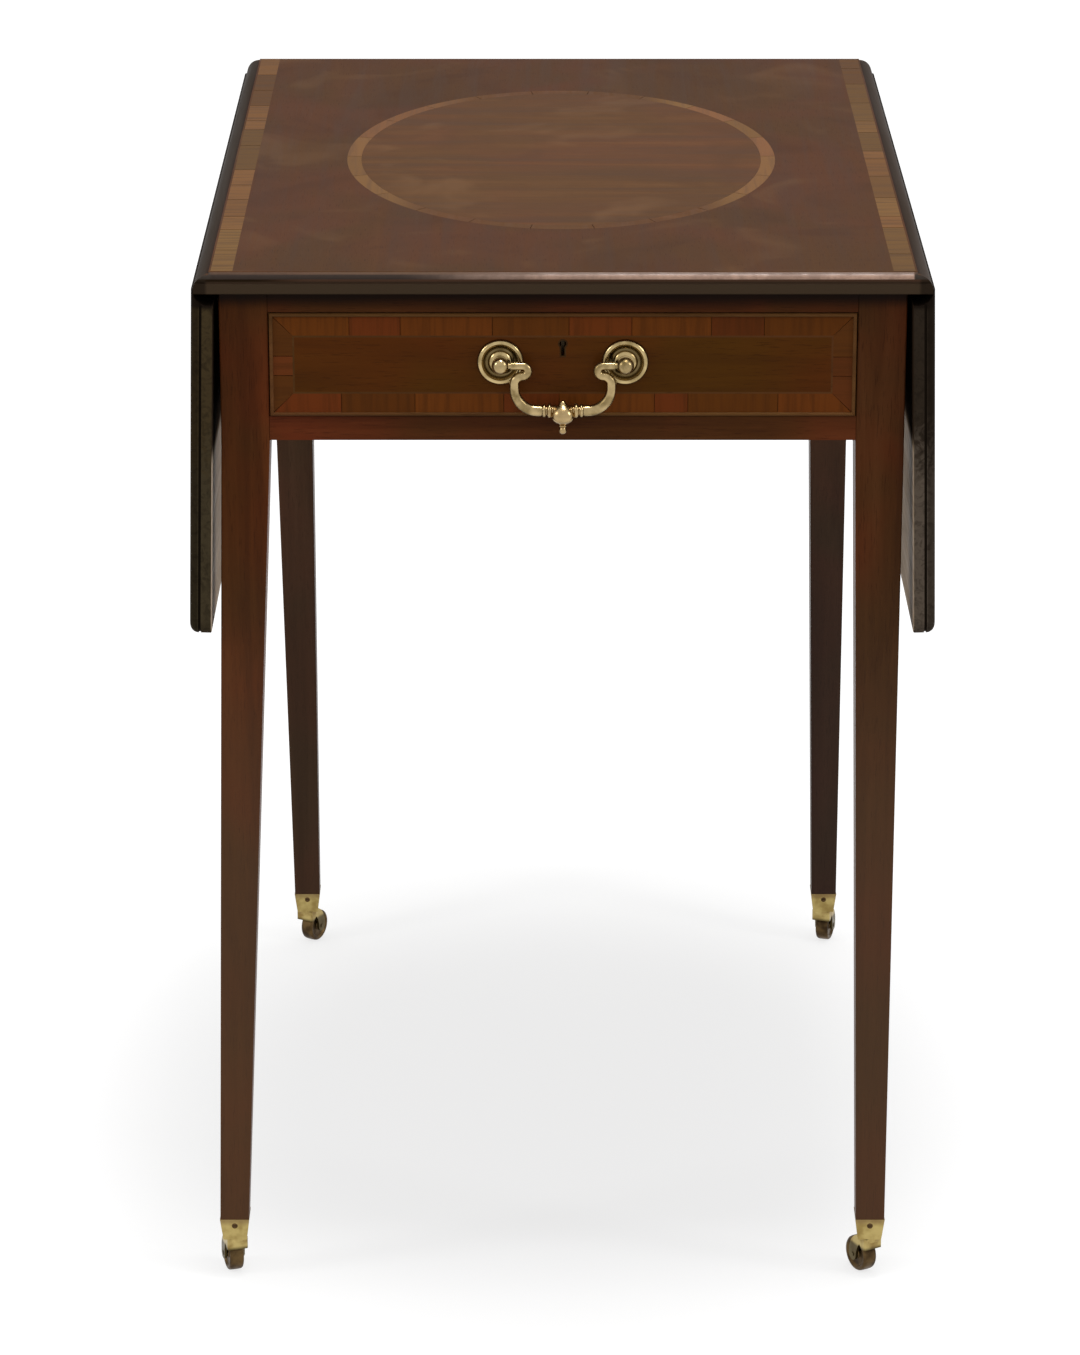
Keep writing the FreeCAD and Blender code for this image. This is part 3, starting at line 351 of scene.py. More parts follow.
def leg_mesh(corner, finish):
    foot = joints["castor_" + corner + "_turn"]["pos_m"]
    head_x = math.copysign(leg_outer - LEG_TOP / 2, foot[0])
    head_y = math.copysign(-frieze_y - LEG_TOP / 2, foot[1])
    rings = [
        rounded_square(foot, LEG_FOOT, foot_z),
        rounded_square((head_x, head_y), LEG_TOP, frieze_z),
        rounded_square((head_x, head_y), LEG_TOP, under_z),
    ]
    mesh = shell("leg_" + corner, [skin(rings)], finish, crease=60)
    for face in mesh.polygons:
        ring = [mesh.vertices[n].co for n in face.vertices]
        narrow = min((here - there).length for here, there in zip(ring, ring[1:]))
        face.use_smooth = narrow < CORNER_ROUND
    return mesh


def frame_wood(name, grain, tones, shift, dust, dust_share):
    """Wood of the frame: dusty towards the floor, and painted dark close under the top as the shade of
    its overhang.
    """
    finish, tree, shader, place = new_finish(name)
    colour, height, streak = wood_colour(tree, place, grain, tones, shift, 0.6)
    z = separate(tree, place)[2]
    dusty = ease(tree, z, DUST_STARTS, DUST_FULL, 0.0, dust_share)
    colour = blend(tree, dusty, colour, tone(*dust))
    # Painted shade: the wood is darkened close under the top, where the overhang shades it.
    painted_shade_under_top = ease(tree, z, under_z - 14 * MM, under_z - 4 * MM, 0.0, 0.9)
    colour = blend(tree, painted_shade_under_top, colour, UNDER_TOP_PAINTED_SHADE)
    polish(tree, shader, colour, height, streak, SHOW_ROUGH, SHOW_GLEAM)
    return finish


LEFT_LEG = ((56, 26, 11), (108, 53, 25), (90, 54, 25), (120, 71, 39))
RIGHT_LEG = ((50, 24, 11), (97, 48, 24), (80, 50, 25), (108, 66, 38))
REAR_LEG = ((64, 42, 30), (111, 72, 53), (96, 72, 52), (126, 91, 69))
LEGS = (
    ("front_left", LEFT_LEG, (104, 81, 63), 0.5),
    ("front_right", RIGHT_LEG, (102, 80, 63), 0.5),
    ("rear_left", REAR_LEG, (66, 51, 40), 0.65),
    ("rear_right", REAR_LEG, (50, 42, 39), 0.7),
)
for number, (corner, tones, dust, dust_share) in enumerate(LEGS):
    shift = (0.31 * number, 0.17 * number, 0.4 * number)
    wood = frame_wood("mahogany leg " + corner, "Z", tones, shift, dust, dust_share)
    node = "leg_" + corner
    settle(node + "_softened", leg_mesh(corner, wood), "frame", "mahogany_frame", node)

# %% Dress the rails and the drawer front
RAIL_TONES = ((52, 23, 11), (110, 51, 27), (84, 49, 23), (118, 66, 37))
RAIL_DUST = ((90, 60, 40), 0.2)
rail_wood = frame_wood("mahogany front rails", "X", RAIL_TONES, (0, 0, 0), *RAIL_DUST)
dress(rail_wood, "front_top_rail", "front_drawer_rail")
rear_wood = frame_wood("mahogany rear rail", "X", RAIL_TONES, (0, 0.4, 0), *RAIL_DUST)
dress(rear_wood, "rear_frieze_rail")
DRAWER_TONES = ((60, 30, 9), (96, 49, 16), (88, 53, 14), (108, 65, 23))
drawer_wood = mahogany("mahogany drawer front", "X", DRAWER_TONES, shift=(0.2, 0, 0.1), figure=0.4)
dress(drawer_wood, "drawer_front")
print("rails dressed")

# %% [markdown]
# ## Top and leaves
# The moulded edge of an old top is dark with handling and dust: a rounding, a fine groove called a
# quirk, and a flat below. Part of the rounding is rubbed to a shine and painted pale as a highlight;
# shade is painted low on the rounding and on the edges and grooves of the leaves. The under side of
# a leaf was never polished: its bare wood is lifted by painted light, and painted dark as shade where
# the frieze covers it. All this follows from where a point lies on the board. A hanging leaf is first
# turned back up about its hinge line, inside the finish, so that the same rules serve it.

# %% Finish of a board
TOP_TONES = ((48, 30, 20), (75, 46, 30), (69, 46, 28), (88, 61, 41))
TOP_PATCHES = ((60, 38, 26), (92, 65, 42))
HAZE = 0.006
BOARD_ROUGH = 0.42
top_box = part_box("top_panel")
top_z = top_box[1].z
end_y = top_box[1].y
hinge_x, _, hinge_z = joints["leaf_right_fold"]["pos_m"]


def patchy(tree, place, colour, dark, light):
    """Old polish is uneven: soft darker and lighter patches, a hand's width across."""
    patch = noise(tree, place, 13.0, 2.5, 0.55, 0.7)
    colour = blend(tree, ease(tree, patch, 0.48, 0.30, 0.0, 0.45), colour, tone(*dark))
    return blend(tree, ease(tree, patch, 0.54, 0.74, 0.0, 0.4), colour, tone(*light))


def board(name, shift, turn_back, masks):
    """Finish of a board: polished wood in uneven patches. masks then colours edges and under side."""
    finish, tree, shader, place = new_finish(name)
    if turn_back:
        axis_x, angle = turn_back
        inputs = {"Vector": place, "Center": (axis_x, 0, hinge_z), "Axis": (0, 1, 0), "Angle": angle}
        place = add(tree, "ShaderNodeVectorRotate", inputs).outputs[0]
    colour, height, streak = wood_colour(tree, place, "Y", TOP_TONES, shift, 0.35)
    polish(tree, shader, colour, height, streak, BOARD_ROUGH, HAZE)
    masks(tree, shader, place, patchy(tree, place, colour, *TOP_PATCHES))
    return finish


print("upper face of the top is at", round(top_z, 4))

# %% Colour the moulded edge
EDGE_UPPER = tone(72, 51, 39)
EDGE_LOWER = tone(74, 60, 46)
EDGE_SIDE = tone(44, 35, 27)
EDGE_CORNER = tone(36, 25, 14)
# Painted light in the quirk of the top: lighter than the edge round it.
QUIRK_PAINTED_LIGHT = tone(82, 64, 50)
GLUE_LINE = tone(40, 26, 18)
EDGE_ROUND = 5.6 * MM
EDGE_QUIRK = 1.6 * MM


def in_quirk(tree, z):
    """The narrow groove under the rounding of an edge."""
    low = top_z - EDGE_ROUND - EDGE_QUIRK
    above = ease(tree, z, low - 0.1 * MM, low + 0.1 * MM)
    return times(tree, above, ease(tree, z, low + EDGE_QUIRK + 0.2 * MM, low + EDGE_QUIRK))


# Darkens the sides of a board, beyond start, towards EDGE_SIDE.
def darker_sides(tree, x, colour, start):
    sides = ease(tree, sums(tree, "ABSOLUTE", x), start, start + 2.7 * MM, 0.0, 0.85)
    return blend(tree, sides, colour, EDGE_SIDE)


def edge_upper(tree, x):
    return blend(tree, ease(tree, x, -0.16, -0.20), EDGE_UPPER, EDGE_CORNER)


def top_masks(tree, shader, place, colour):
    x, y, z = separate(tree, place)
    far_y = sums(tree, "ABSOLUTE", y)
    band_end = end_y - EDGE_ROUND
    below = ease(tree, z, top_z - 0.4 * MM, top_z - 0.6 * MM)
    sunk = times(tree, below, ease(tree, far_y, band_end + 0.3 * MM, band_end - 0.3 * MM))
    colour = blend(tree, sunk, colour, GLUE_LINE)
    lower = ease(tree, z, top_z - EDGE_ROUND, top_z - EDGE_ROUND - EDGE_QUIRK)
    edge = blend(tree, lower, edge_upper(tree, x), EDGE_LOWER)
    outside = ease(tree, far_y, end_y - 1.2 * MM, end_y - 0.9 * MM)
    # Painted light: the quirk is painted lighter than the edge round it, to lift the shade of the
    # groove.
    edge = blend(tree, times(tree, outside, in_quirk(tree, z)), edge, QUIRK_PAINTED_LIGHT)
    colour = blend(tree, ease(tree, z, top_z - 1.6 * MM, top_z - 3.6 * MM), colour, edge)
    wire(tree, shader, Base_Color=darker_sides(tree, x, colour, hinge_x + 0.3 * MM))


print("edge is rounded by", round(EDGE_ROUND / MM, 1), "mm")

# %% Rub the rounding, paint its highlight and shade, and dress the top
# The rounding's wood is lighter than the top's: partly its own rubbed colour, partly a painted
# highlight.
EDGE_TONES = ((53, 35, 23), (87, 59, 42), (82, 60, 43), (124, 93, 73))
EDGE_RUBBED_AND_LIT = tone(106, 83, 70)
EDGE_PAINTED_HIGHLIGHT = tone(166, 134, 116)
EDGE_SHADE = tone(38, 26, 18)
EDGE_GLEAM = 0.27
RUB_AND_HIGHLIGHT_STARTS = (-0.11, 0.02)


def rubbed_edge_with_painted_light():
    """Upper rounding of the front and back edge: dull with painted shade on the left, rubbed to a shine
    with a painted highlight on the right.
    """
    finish, tree, shader, place = new_finish("mahogany rubbed edge")
    colour, height, streak = wood_colour(tree, place, "X", EDGE_TONES, (0.3, 0, 0), 0.7)
    polish(tree, shader, colour, height, streak, BOARD_ROUGH, EDGE_GLEAM)
    x, _, z = separate(tree, place)
    # Deeper than 0.8 mm the rounding is painted dark, painted shade where it turns from the light; in
    # the rubbed part it is painted pale instead, a painted highlight.
    lower = ease(tree, z, top_z - 0.8 * MM, top_z - 1.8 * MM)
    colour = blend(tree, lower, colour, EDGE_SHADE)
    pale = blend(tree, lower, EDGE_RUBBED_AND_LIT, EDGE_PAINTED_HIGHLIGHT)
    wear = ease(tree, noise(tree, place, 60.0, 4.0, 0.7), 0.35, 0.65, 0.6, 1.0)
    begun = ease(tree, x, *RUB_AND_HIGHLIGHT_STARTS)
    ended = ease(tree, x, hinge_x - 1.5 * MM, hinge_x - 3 * MM)
    reach = times(tree, begun, ended)
    rubbed_and_painted_highlight = times(tree, wear, reach)
    colour = blend(tree, rubbed_and_painted_highlight, colour, pale)
    wire(tree, shader, Base_Color=darker_sides(tree, x, colour, hinge_x - 2.7 * MM))
    wire(tree, shader, Roughness=ease(tree, rubbed_and_painted_highlight, 0.0, 1.0, 0.80, 0.30))
    return finish


def two_finishes(node, main, other, belongs):
    """A copy of a solid with its triangles merged. Faces whose middle belongs take the other finish."""
    mesh = solids[node].data.copy()
    mesh.materials.clear()
    mesh.materials.append(main)
    mesh.materials.append(other)
    work = bmesh.new()
    work.from_mesh(mesh)
    bmesh.ops.remove_doubles(work, verts=work.verts[:], dist=0.001 * MM)
    for face in work.faces:
        face.material_index = int(belongs(face.calc_center_median()))
    work.to_mesh(mesh)
    work.free()
    mesh.shade_flat()
    taken = sum(face.material_index for face in mesh.polygons)
    print(taken, "faces of", node, "take the other finish")
    return mesh


def on_rounding(middle):
    depth = top_z - middle.z
    return abs(middle.y) > end_y - EDGE_ROUND and 0.25 * MM < depth < 3.9 * MM


top_wood = board("mahogany top", (0, 0, 0), None, top_masks)
panel = two_finishes("top_panel", top_wood, rubbed_edge_with_painted_light(), on_rounding)
settle("top_panel_polished", panel, "frame", "mahogany_top", "top_panel")

# %% Dress the leaves
leaf_turn = joints["leaf_right_fold"]["range_deg"][1]
LEAF_REACH = 234 * MM
leaf_far = hinge_x + LEAF_REACH
# The bare under side is dusty wood painted paler still, painted light where the table shades it; the
# left leaf is painted paler than the right.
BARE_WOOD_AND_PAINTED_LIGHT = {
    "left": ((192, 168, 142), (232, 210, 184)),
    "right": ((160, 136, 110), (204, 180, 150)),
}
COVERED = {"left": 120 * MM, "right": 112 * MM}
END_GRAIN = {"left": ((76, 63, 42), (76, 66, 48)), "right": ((54, 45, 36), (102, 90, 78))}
MOTTLE = tone(34, 28, 22)
LEAF_BEAD_PAINTED_SHADE = tone(24, 18, 13)
LEAF_QUIRK_PAINTED_SHADE = tone(34, 27, 20)
COVE_PAINTED_SHADE = tone(30, 23, 18)
COVERED_PAINTED_SHADE = tone(52, 40, 30)


def leaf_masks(side):
    """Edges and under side of one leaf. Its under side is lifted by painted light, and is dull and
    painted dark as shade where the frieze covers it.
    """
    near_tone, far_tone = [tone(*part) for part in END_GRAIN[side]]
    dusty, clean = [tone(*part) for part in BARE_WOOD_AND_PAINTED_LIGHT[side]]

    def masks(tree, shader, place, colour):
        x, y, z = separate(tree, place)
        reach = sums(tree, "ABSOLUTE", x)
        ends = ease(tree, sums(tree, "ABSOLUTE", y), end_y - 6 * MM, end_y - 3 * MM)
        far = ease(tree, reach, leaf_far - 6 * MM, leaf_far - 3 * MM)
        cove = ease(tree, reach, hinge_x + 14 * MM, hinge_x + 10 * MM)
        curl = ease(tree, noise(tree, place, 95.0, 3.0, 0.5, 2.5), 0.35, 0.65, -12 * MM, 12 * MM)
        worn = ease(tree, sums(tree, "ADD", reach, curl), hinge_x + 85 * MM, hinge_x + 135 * MM)
        wear_stain_and_shade = blend(tree, worn, near_tone, far_tone)
        mottle = ease(tree, noise(tree, place, 150.0, 4.0, 0.6, 1.5), 0.42, 0.70, 0.0, 0.5)
        wear_stain_and_shade = blend(tree, mottle, wear_stain_and_shade, MOTTLE)
        finished = blend(tree, far, colour, EDGE_UPPER)
        # Painted shade on the bead and in the quirk of the leaf end.
        bead = ease(tree, z, top_z - EDGE_ROUND - 0.3 * MM, top_z - EDGE_ROUND + 1.2 * MM, 0.0, 0.6)
        wear_stain_and_shade = blend(tree, bead, wear_stain_and_shade, LEAF_BEAD_PAINTED_SHADE)
        wear_stain_and_shade = blend(tree, in_quirk(tree, z), wear_stain_and_shade, LEAF_QUIRK_PAINTED_SHADE)
        finished = blend(tree, ends, finished, wear_stain_and_shade)
        # Painted shade in the cove of the joint.
        finished = blend(tree, cove, finished, COVE_PAINTED_SHADE)
        under = ease(tree, z, under_z + 0.12 * MM, under_z + 0.04 * MM)
        fibre = add(tree, "ShaderNodeMapping", {"Vector": place, "Scale": GRAIN_SCALE["Y"]}).outputs[0]
        dust = ease(tree, noise(tree, fibre, 210.0, 5.0, 0.65), 0.2, 0.8)
        bare = blend(tree, dust, dusty, clean)
        # Painted shade where the frieze covers the under side.
        covered = ease(tree, reach, hinge_x + COVERED[side], hinge_x + COVERED[side] - 14 * MM)
        bare = blend(tree, covered, bare, COVERED_PAINTED_SHADE)
        wire(tree, shader, Base_Color=blend(tree, under, finished, bare))
        polished = shader.inputs["Roughness"].links[0].from_socket
        dull = times(tree, under, covered)
        wire(tree, shader, Roughness=ease(tree, dull, 0.0, 1.0, polished, 1.0))

    return masks


for side, sign, shift in (("left", -1, (0.5, 0, 0)), ("right", 1, (0.9, 0, 0))):
    turn_back = (sign * hinge_x, -sign * math.radians(leaf_turn))
    dress(board("mahogany leaf " + side, shift, turn_back, leaf_masks(side)), "leaf_" + side)
print("leaves dressed, they hang", leaf_turn, "degrees below level")

# %% [markdown]
# ## Cut veneers
# Crossbanding is laid as short lengths of veneer with the grain running across the band, butted end
# to end with a knife cut between them. A node tree lays one strip: a row of tiles between two
# points, each joint moved a little at random, each tile drawn in by half a knife cut and raised to
# its thickness. Every tile carries a random number, which the finish turns into a slightly
# different piece of wood. The ends of a strip may be mitred.

# %% Start a node tree that makes geometry
WELD = 0.00001


def start_tree(name, *inputs):
    tree = bpy.data.node_groups.new(name, "GeometryNodeTree")
    sockets = {}
    for label, kind in inputs:
        made = tree.interface.new_socket(label, in_out="INPUT", socket_type="NodeSocket" + kind)
        sockets[label] = made.identifier
    tree.interface.new_socket("Geometry", in_out="OUTPUT", socket_type="NodeSocketGeometry")
    given = tree.nodes.new("NodeGroupInput").outputs
    return tree, sockets, given


def vectors(tree, operation, first, second, output=0):
    made = add(tree, "ShaderNodeVectorMath", {0: first, 1: second}, operation=operation)
    return made.outputs[output]


def scaled(tree, vector, factor):
    return add(tree, "ShaderNodeVectorMath", {0: vector, "Scale": factor}, operation="SCALE").outputs[0]


def random_share(tree, low, high, number, seed):
    inputs = {2: low, 3: high, "ID": number, "Seed": seed}
    return add(tree, "FunctionNodeRandomValue", inputs, data_type="FLOAT").outputs[1]


def unit_grid(tree, columns):
    """A flat row of columns, one unit each way, and how far along and across it a point lies."""
    inputs = {"Size X": 1.0, "Size Y": 1.0, "Vertices Y": 2}
    inputs["Vertices X"] = sums(tree, "ADD", columns, 1.0)
    grid = add(tree, "GeometryNodeMeshGrid", inputs).outputs[0]
    spot = separate(tree, add(tree, "GeometryNodeInputPosition").outputs[0])
    return grid, sums(tree, "ADD", spot[0], 0.5), sums(tree, "ADD", spot[1], 0.5)


def raise_tiles(tree, tiles, depth, seed, finish):
    """Close flat tiles into slabs, give each its own random number, and end the tree."""
    raised = {"Mesh": tiles, "Offset": depth, "Offset Scale": 1.0, "Individual": False}
    slabs = add(tree, "GeometryNodeExtrudeMesh", raised, mode="FACES").outputs[0]
    backs = add(tree, "GeometryNodeFlipFaces", {"Mesh": tiles}).outputs[0]
    both = add(tree, "GeometryNodeJoinGeometry", {"Geometry": slabs})
    tree.links.new(backs, both.inputs[0])
    closed = add(tree, "GeometryNodeMergeByDistance", {"Geometry": both.outputs[0], "Distance": WELD})
    island = add(tree, "GeometryNodeInputMeshIsland").outputs[0]
    tint = random_share(tree, 0.0, 1.0, island, seed)
    stored = add(tree, "GeometryNodeStoreNamedAttribute",
                 {"Geometry": closed.outputs[0], "Name": "tint"}, data_type="FLOAT", domain="FACE")
    tree.links.new(tint, stored.inputs["Value"])
    whole = add(tree, "GeometryNodeRealizeInstances", {"Geometry": stored.outputs[0]}).outputs[0]
    dressed = add(tree, "GeometryNodeSetMaterial", {"Geometry": whole, "Material": finish}).outputs[0]
    add(tree, "NodeGroupOutput", {0: dressed})


print("tree helpers ready")

# %% Tree that lays one strip
JOINT_WANDER = 0.34
strip_tree, strip_inputs, given = start_tree(
    "veneer strip", ("Tiles", "Int"), ("Start", "Vector"), ("End", "Vector"), ("Across", "Vector"),
    ("Depth", "Vector"), ("Mitre", "Float"), ("Knife cut", "Float"), ("Seed", "Int"),
    ("Finish", "Material"))
tree = strip_tree
grid, along, across = unit_grid(tree, given["Tiles"])
joint = sums(tree, "ROUND", times(tree, along, given["Tiles"]))
to_end = sums(tree, "MINIMUM", joint, sums(tree, "SUBTRACT", given["Tiles"], joint))
inside = sums(tree, "MINIMUM", to_end, 1.0)
wander = random_share(tree, -JOINT_WANDER, JOINT_WANDER, joint, given["Seed"])
step = sums(tree, "DIVIDE", times(tree, wander, inside), given["Tiles"])
moved = sums(tree, "ADD", along, step)
run = vectors(tree, "SUBTRACT", given["End"], given["Start"])
ahead = add(tree, "ShaderNodeVectorMath", {0: run}, operation="NORMALIZE").outputs[0]
wide = add(tree, "ShaderNodeVectorMath", {0: given["Across"]}, operation="LENGTH").outputs[1]
at_end = sums(tree, "SUBTRACT", 1.0, inside)
inward = sums(tree, "SUBTRACT", 1.0, times(tree, along, 2.0))
skew = times(tree, at_end, inward)
mitre = times(tree, skew, times(tree, across, wide))
mitre = times(tree, mitre, given["Mitre"])
place = vectors(tree, "ADD", given["Start"], scaled(tree, run, moved))
place = vectors(tree, "ADD", place, scaled(tree, given["Across"], across))
place = vectors(tree, "ADD", place, scaled(tree, ahead, mitre))
laid = add(tree, "GeometryNodeSetPosition", {"Geometry": grid, "Position": place})
cut = add(tree, "GeometryNodeSplitEdges", {"Mesh": laid.outputs[0]})
length = sums(tree, "DIVIDE", add(tree, "GeometryNodeInputMeshFaceArea").outputs[0], wide)
keep = sums(tree, "SUBTRACT", 1.0, sums(tree, "DIVIDE", given["Knife cut"], length))
middle = add(tree, "GeometryNodeInputPosition").outputs[0]
shrink = {"Geometry": cut.outputs[0], "Scale": keep, "Center": middle, "Axis": ahead}
drawn = add(tree, "GeometryNodeScaleElements", shrink, domain="FACE", scale_mode="SINGLE_AXIS")
raise_tiles(tree, drawn.outputs[0], given["Depth"], given["Seed"], given["Finish"])
print("strip tree has", len(tree.nodes), "nodes")

# %% Run a tree and keep plain meshes
def grow(tree, sockets, values):
    """Run the tree once with these values and keep what it makes as a plain mesh."""
    holder = bpy.data.objects.new(tree.name, bpy.data.meshes.new(tree.name))
    scene.collection.objects.link(holder)
    modifier = holder.modifiers.new(tree.name, "NODES")
    modifier.node_group = tree
    for label, value in values.items():
        modifier[sockets[label]] = value
    ready = holder.evaluated_get(bpy.context.evaluated_depsgraph_get())
    mesh = bpy.data.meshes.new_from_object(ready)
    bpy.data.objects.remove(holder)
    return mesh


def lay_strip(start, end, across, depth, tiles, seed, finish, mitre=0.0, knife_cut=0.8 * MM):
    start, end, across, depth = Vector(start), Vector(end), Vector(across), Vector(depth)
    if (end - start).cross(across).dot(depth) < 0:
        start, end = end, start
    values = {"Tiles": tiles, "Start": start, "End": end, "Across": across, "Depth": depth,
              "Mitre": mitre, "Knife cut": knife_cut, "Seed": seed, "Finish": finish}
    return grow(strip_tree, strip_inputs, values)


def gather(name, meshes):
    """One mesh of several laid strips, with the random number of each tile."""
    points, faces, tints = [], [], []
    for mesh in meshes:
        base = len(points)
        points.extend([tuple(vertex.co) for vertex in mesh.vertices])
        faces.extend([tuple(base + n for n in face.vertices) for face in mesh.polygons])
        tints.extend([item.value for item in mesh.attributes["tint"].data])
    whole = bpy.data.meshes.new(name)
    whole.from_pydata(points, [], faces)
    whole.attributes.new("tint", "FLOAT", "FACE").data.foreach_set("value", tints)
    whole.materials.append(meshes[0].materials[-1])
    return whole


print("strips can be laid")

# %% [markdown]
# ## Crossbanding
# The finish of the bands asks each tile for its random number. It shifts the grain, so that it does
# not run on from tile to tile, and picks a wood between golden and red, lighter or darker.

# %% Finish of the bands
def crossband(name, grain, gold, red, dark, depth=0.5, gleam=HAZE):
    finish, tree, shader, place = new_finish(name)
    tint = add(tree, "ShaderNodeAttribute", attribute_name="tint").outputs["Fac"]
    own = vectors(tree, "ADD", place, scaled(tree, (3.7, 9.1, 5.3), tint))
    fibre = add(tree, "ShaderNodeMapping", {"Vector": own, "Scale": GRAIN_SCALE[grain]}).outputs[0]
    streak = noise(tree, fibre, 240.0, 4.0, 0.6, 0.3)
    thread = noise(tree, fibre, 900.0, 2.0, 0.6)
    wood = blend(tree, ease(tree, tint, 0.30, 0.70), tone(*gold), tone(*red))
    other = sums(tree, "FRACT", times(tree, tint, 7.13))
    wood = blend(tree, ease(tree, other, 0.2, 1.0, 0.0, depth), wood, tone(*dark))
    wood = blend(tree, ease(tree, streak, 0.60, 0.30, 0.0, 0.5), wood, tone(*dark))
    height = sums(tree, "ADD", streak, times(tree, thread, 0.4))
    polish(tree, shader, wood, height, streak, BOARD_ROUGH, gleam)
    return finish


TOP_BAND = ((108, 80, 48), (108, 75, 46), (62, 42, 27))
UPRIGHT_BAND = ((116, 64, 21), (118, 57, 24), (76, 42, 16))
LEVEL_BAND = ((115, 66, 27), (117, 61, 29), (81, 46, 19))
top_band = crossband("crossbanding top", "X", *TOP_BAND, depth=0.6)
leaf_band = crossband("crossbanding leaves", "Z", *TOP_BAND)
upright_band = crossband("crossbanding upright grain", "Z", *UPRIGHT_BAND, gleam=SHOW_GLEAM)
level_band = crossband("crossbanding level grain", "X", *LEVEL_BAND, gleam=SHOW_GLEAM)
print("band finishes ready")

# %% Lay the bands of the top and leaves
low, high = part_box("top_crossbanding")
INLAY = Vector((0, 0, high.z - low.z))
BAND = 14 * MM
BAND_TILES = 13
strips = []
for sign, seed in ((-1, 3), (1, 8)):
    edge = Vector((sign * high.x, 0, low.z))
    reach = Vector((0, high.y, 0))
    across = (-sign * BAND, 0, 0)
    strips.append(lay_strip(edge - reach, edge + reach, across, INLAY, BAND_TILES, seed, top_band))
bands = gather("top_crossbanding_tiles", strips)
settle("top_crossbanding_tiles", bands, "frame", "crossbanding", "top_crossbanding")

LEAF_BAND_EDGE = leaf_far - EDGE_ROUND - 1.2 * MM
for side, sign, seed in (("left", -1, 5), ("right", 1, 12)):
    name = "leaf_crossbanding_" + side
    swing = Matrix.Rotation(sign * math.radians(leaf_turn), 3, "Y")
    pivot = Vector((sign * hinge_x, 0, hinge_z))

    def hang(point):
        return pivot + swing @ (Vector(point) - pivot)

    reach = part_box(name)[1].y
    start = hang((sign * LEAF_BAND_EDGE, -reach, top_z - INLAY.z))
    end = hang((sign * LEAF_BAND_EDGE, reach, top_z - INLAY.z))
    across = swing @ Vector((-sign * BAND, 0, 0))
    strip = lay_strip(start, end, across, swing @ INLAY, BAND_TILES, seed, leaf_band)
    settle(name + "_tiles", gather(name + "_tiles", [strip]), "leaf_" + side, "crossbanding", name)

# %% Lay the bands of the drawer front and the back
DRAWER_BAND = 12.5 * MM
FINE_CUT = 0.45 * MM


def lay_frame(name, node, body, first_seed):
    """Four mitred strips round the face of the drawer, or of the rail that matches it at the back."""
    low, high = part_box(node)
    front = -1 if low.y < 0 else 1
    y = high.y if front < 0 else low.y
    depth = Vector((0, front * (high.y - low.y), 0))
    corners = [(low.x, low.z), (high.x, low.z), (high.x, high.z), (low.x, high.z)]
    inward = [(0, 1), (-1, 0), (0, -1), (1, 0)]
    strips = []
    for n in range(4):
        (x0, z0), (x1, z1) = corners[n], corners[(n + 1) % 4]
        across = Vector((inward[n][0], 0, inward[n][1])) * DRAWER_BAND
        level = n % 2 == 0
        finish = upright_band if level else level_band
        tiles = 8 if level else 3
        ends = (x0, y, z0), (x1, y, z1)
        strips.append(lay_strip(*ends, across, depth, tiles, first_seed + n, finish, 1.0, FINE_CUT))
    level_strips = gather(name + "_level", strips[0::2])
    upright_strips = gather(name + "_upright", strips[1::2])
    settle(name + "_level", level_strips, body, "crossbanding", node)
    settle(name + "_upright", upright_strips, body, "crossbanding", node)


lay_frame("drawer_band", "drawer_crossbanding", "drawer", 20)
lay_frame("rear_band", "rear_crossbanding", "frame", 40)

# %% [markdown]
# ## The oval
# A band of short veneers follows an ellipse round the figured panel. The tree maps a long row of
# narrow columns on the ring between two ellipses and cuts it where a tile ends. On the left and
# right the band is pale; at the front and back its wood is close to that of the panel.

# %% Lay the oval band
oval_tree, oval_inputs, given = start_tree(
    "oval band", ("Tiles", "Int"), ("Columns in a tile", "Int"), ("Outer", "Vector"), ("Width", "Float"),
    ("Base", "Float"), ("Depth", "Vector"), ("Seed", "Int"), ("Finish", "Material"))
tree = oval_tree
columns = times(tree, given["Tiles"], given["Columns in a tile"])
grid, along, across = unit_grid(tree, columns)
angle = times(tree, along, 2 * math.pi)
inset = times(tree, across, given["Width"])
outer = separate(tree, given["Outer"])
x = times(tree, sums(tree, "COSINE", angle), sums(tree, "SUBTRACT", outer[0], inset))
y = times(tree, sums(tree, "SINE", angle), sums(tree, "SUBTRACT", outer[1], inset))
place = add(tree, "ShaderNodeCombineXYZ", {0: x, 1: y, 2: given["Base"]}).outputs[0]
column = sums(tree, "ROUND", times(tree, along, columns))
rest = sums(tree, "FLOORED_MODULO", column, given["Columns in a tile"])
border = sums(tree, "LESS_THAN", rest, 0.5)
kept = add(tree, "GeometryNodeStoreNamedAttribute", {"Geometry": grid, "Name": "border"},
           data_type="BOOLEAN", domain="POINT")
tree.links.new(border, kept.inputs["Value"])
laid = add(tree, "GeometryNodeSetPosition", {"Geometry": kept.outputs[0], "Position": place})
named = add(tree, "GeometryNodeInputNamedAttribute", {"Name": "border"}, data_type="BOOLEAN").outputs[0]
cut = add(tree, "GeometryNodeSplitEdges", {"Mesh": laid.outputs[0], "Selection": named})
drawn = add(tree, "GeometryNodeScaleElements", {"Geometry": cut.outputs[0], "Scale": 0.99},
            domain="FACE", scale_mode="UNIFORM")
raise_tiles(tree, drawn.outputs[0], given["Depth"], given["Seed"], given["Finish"])

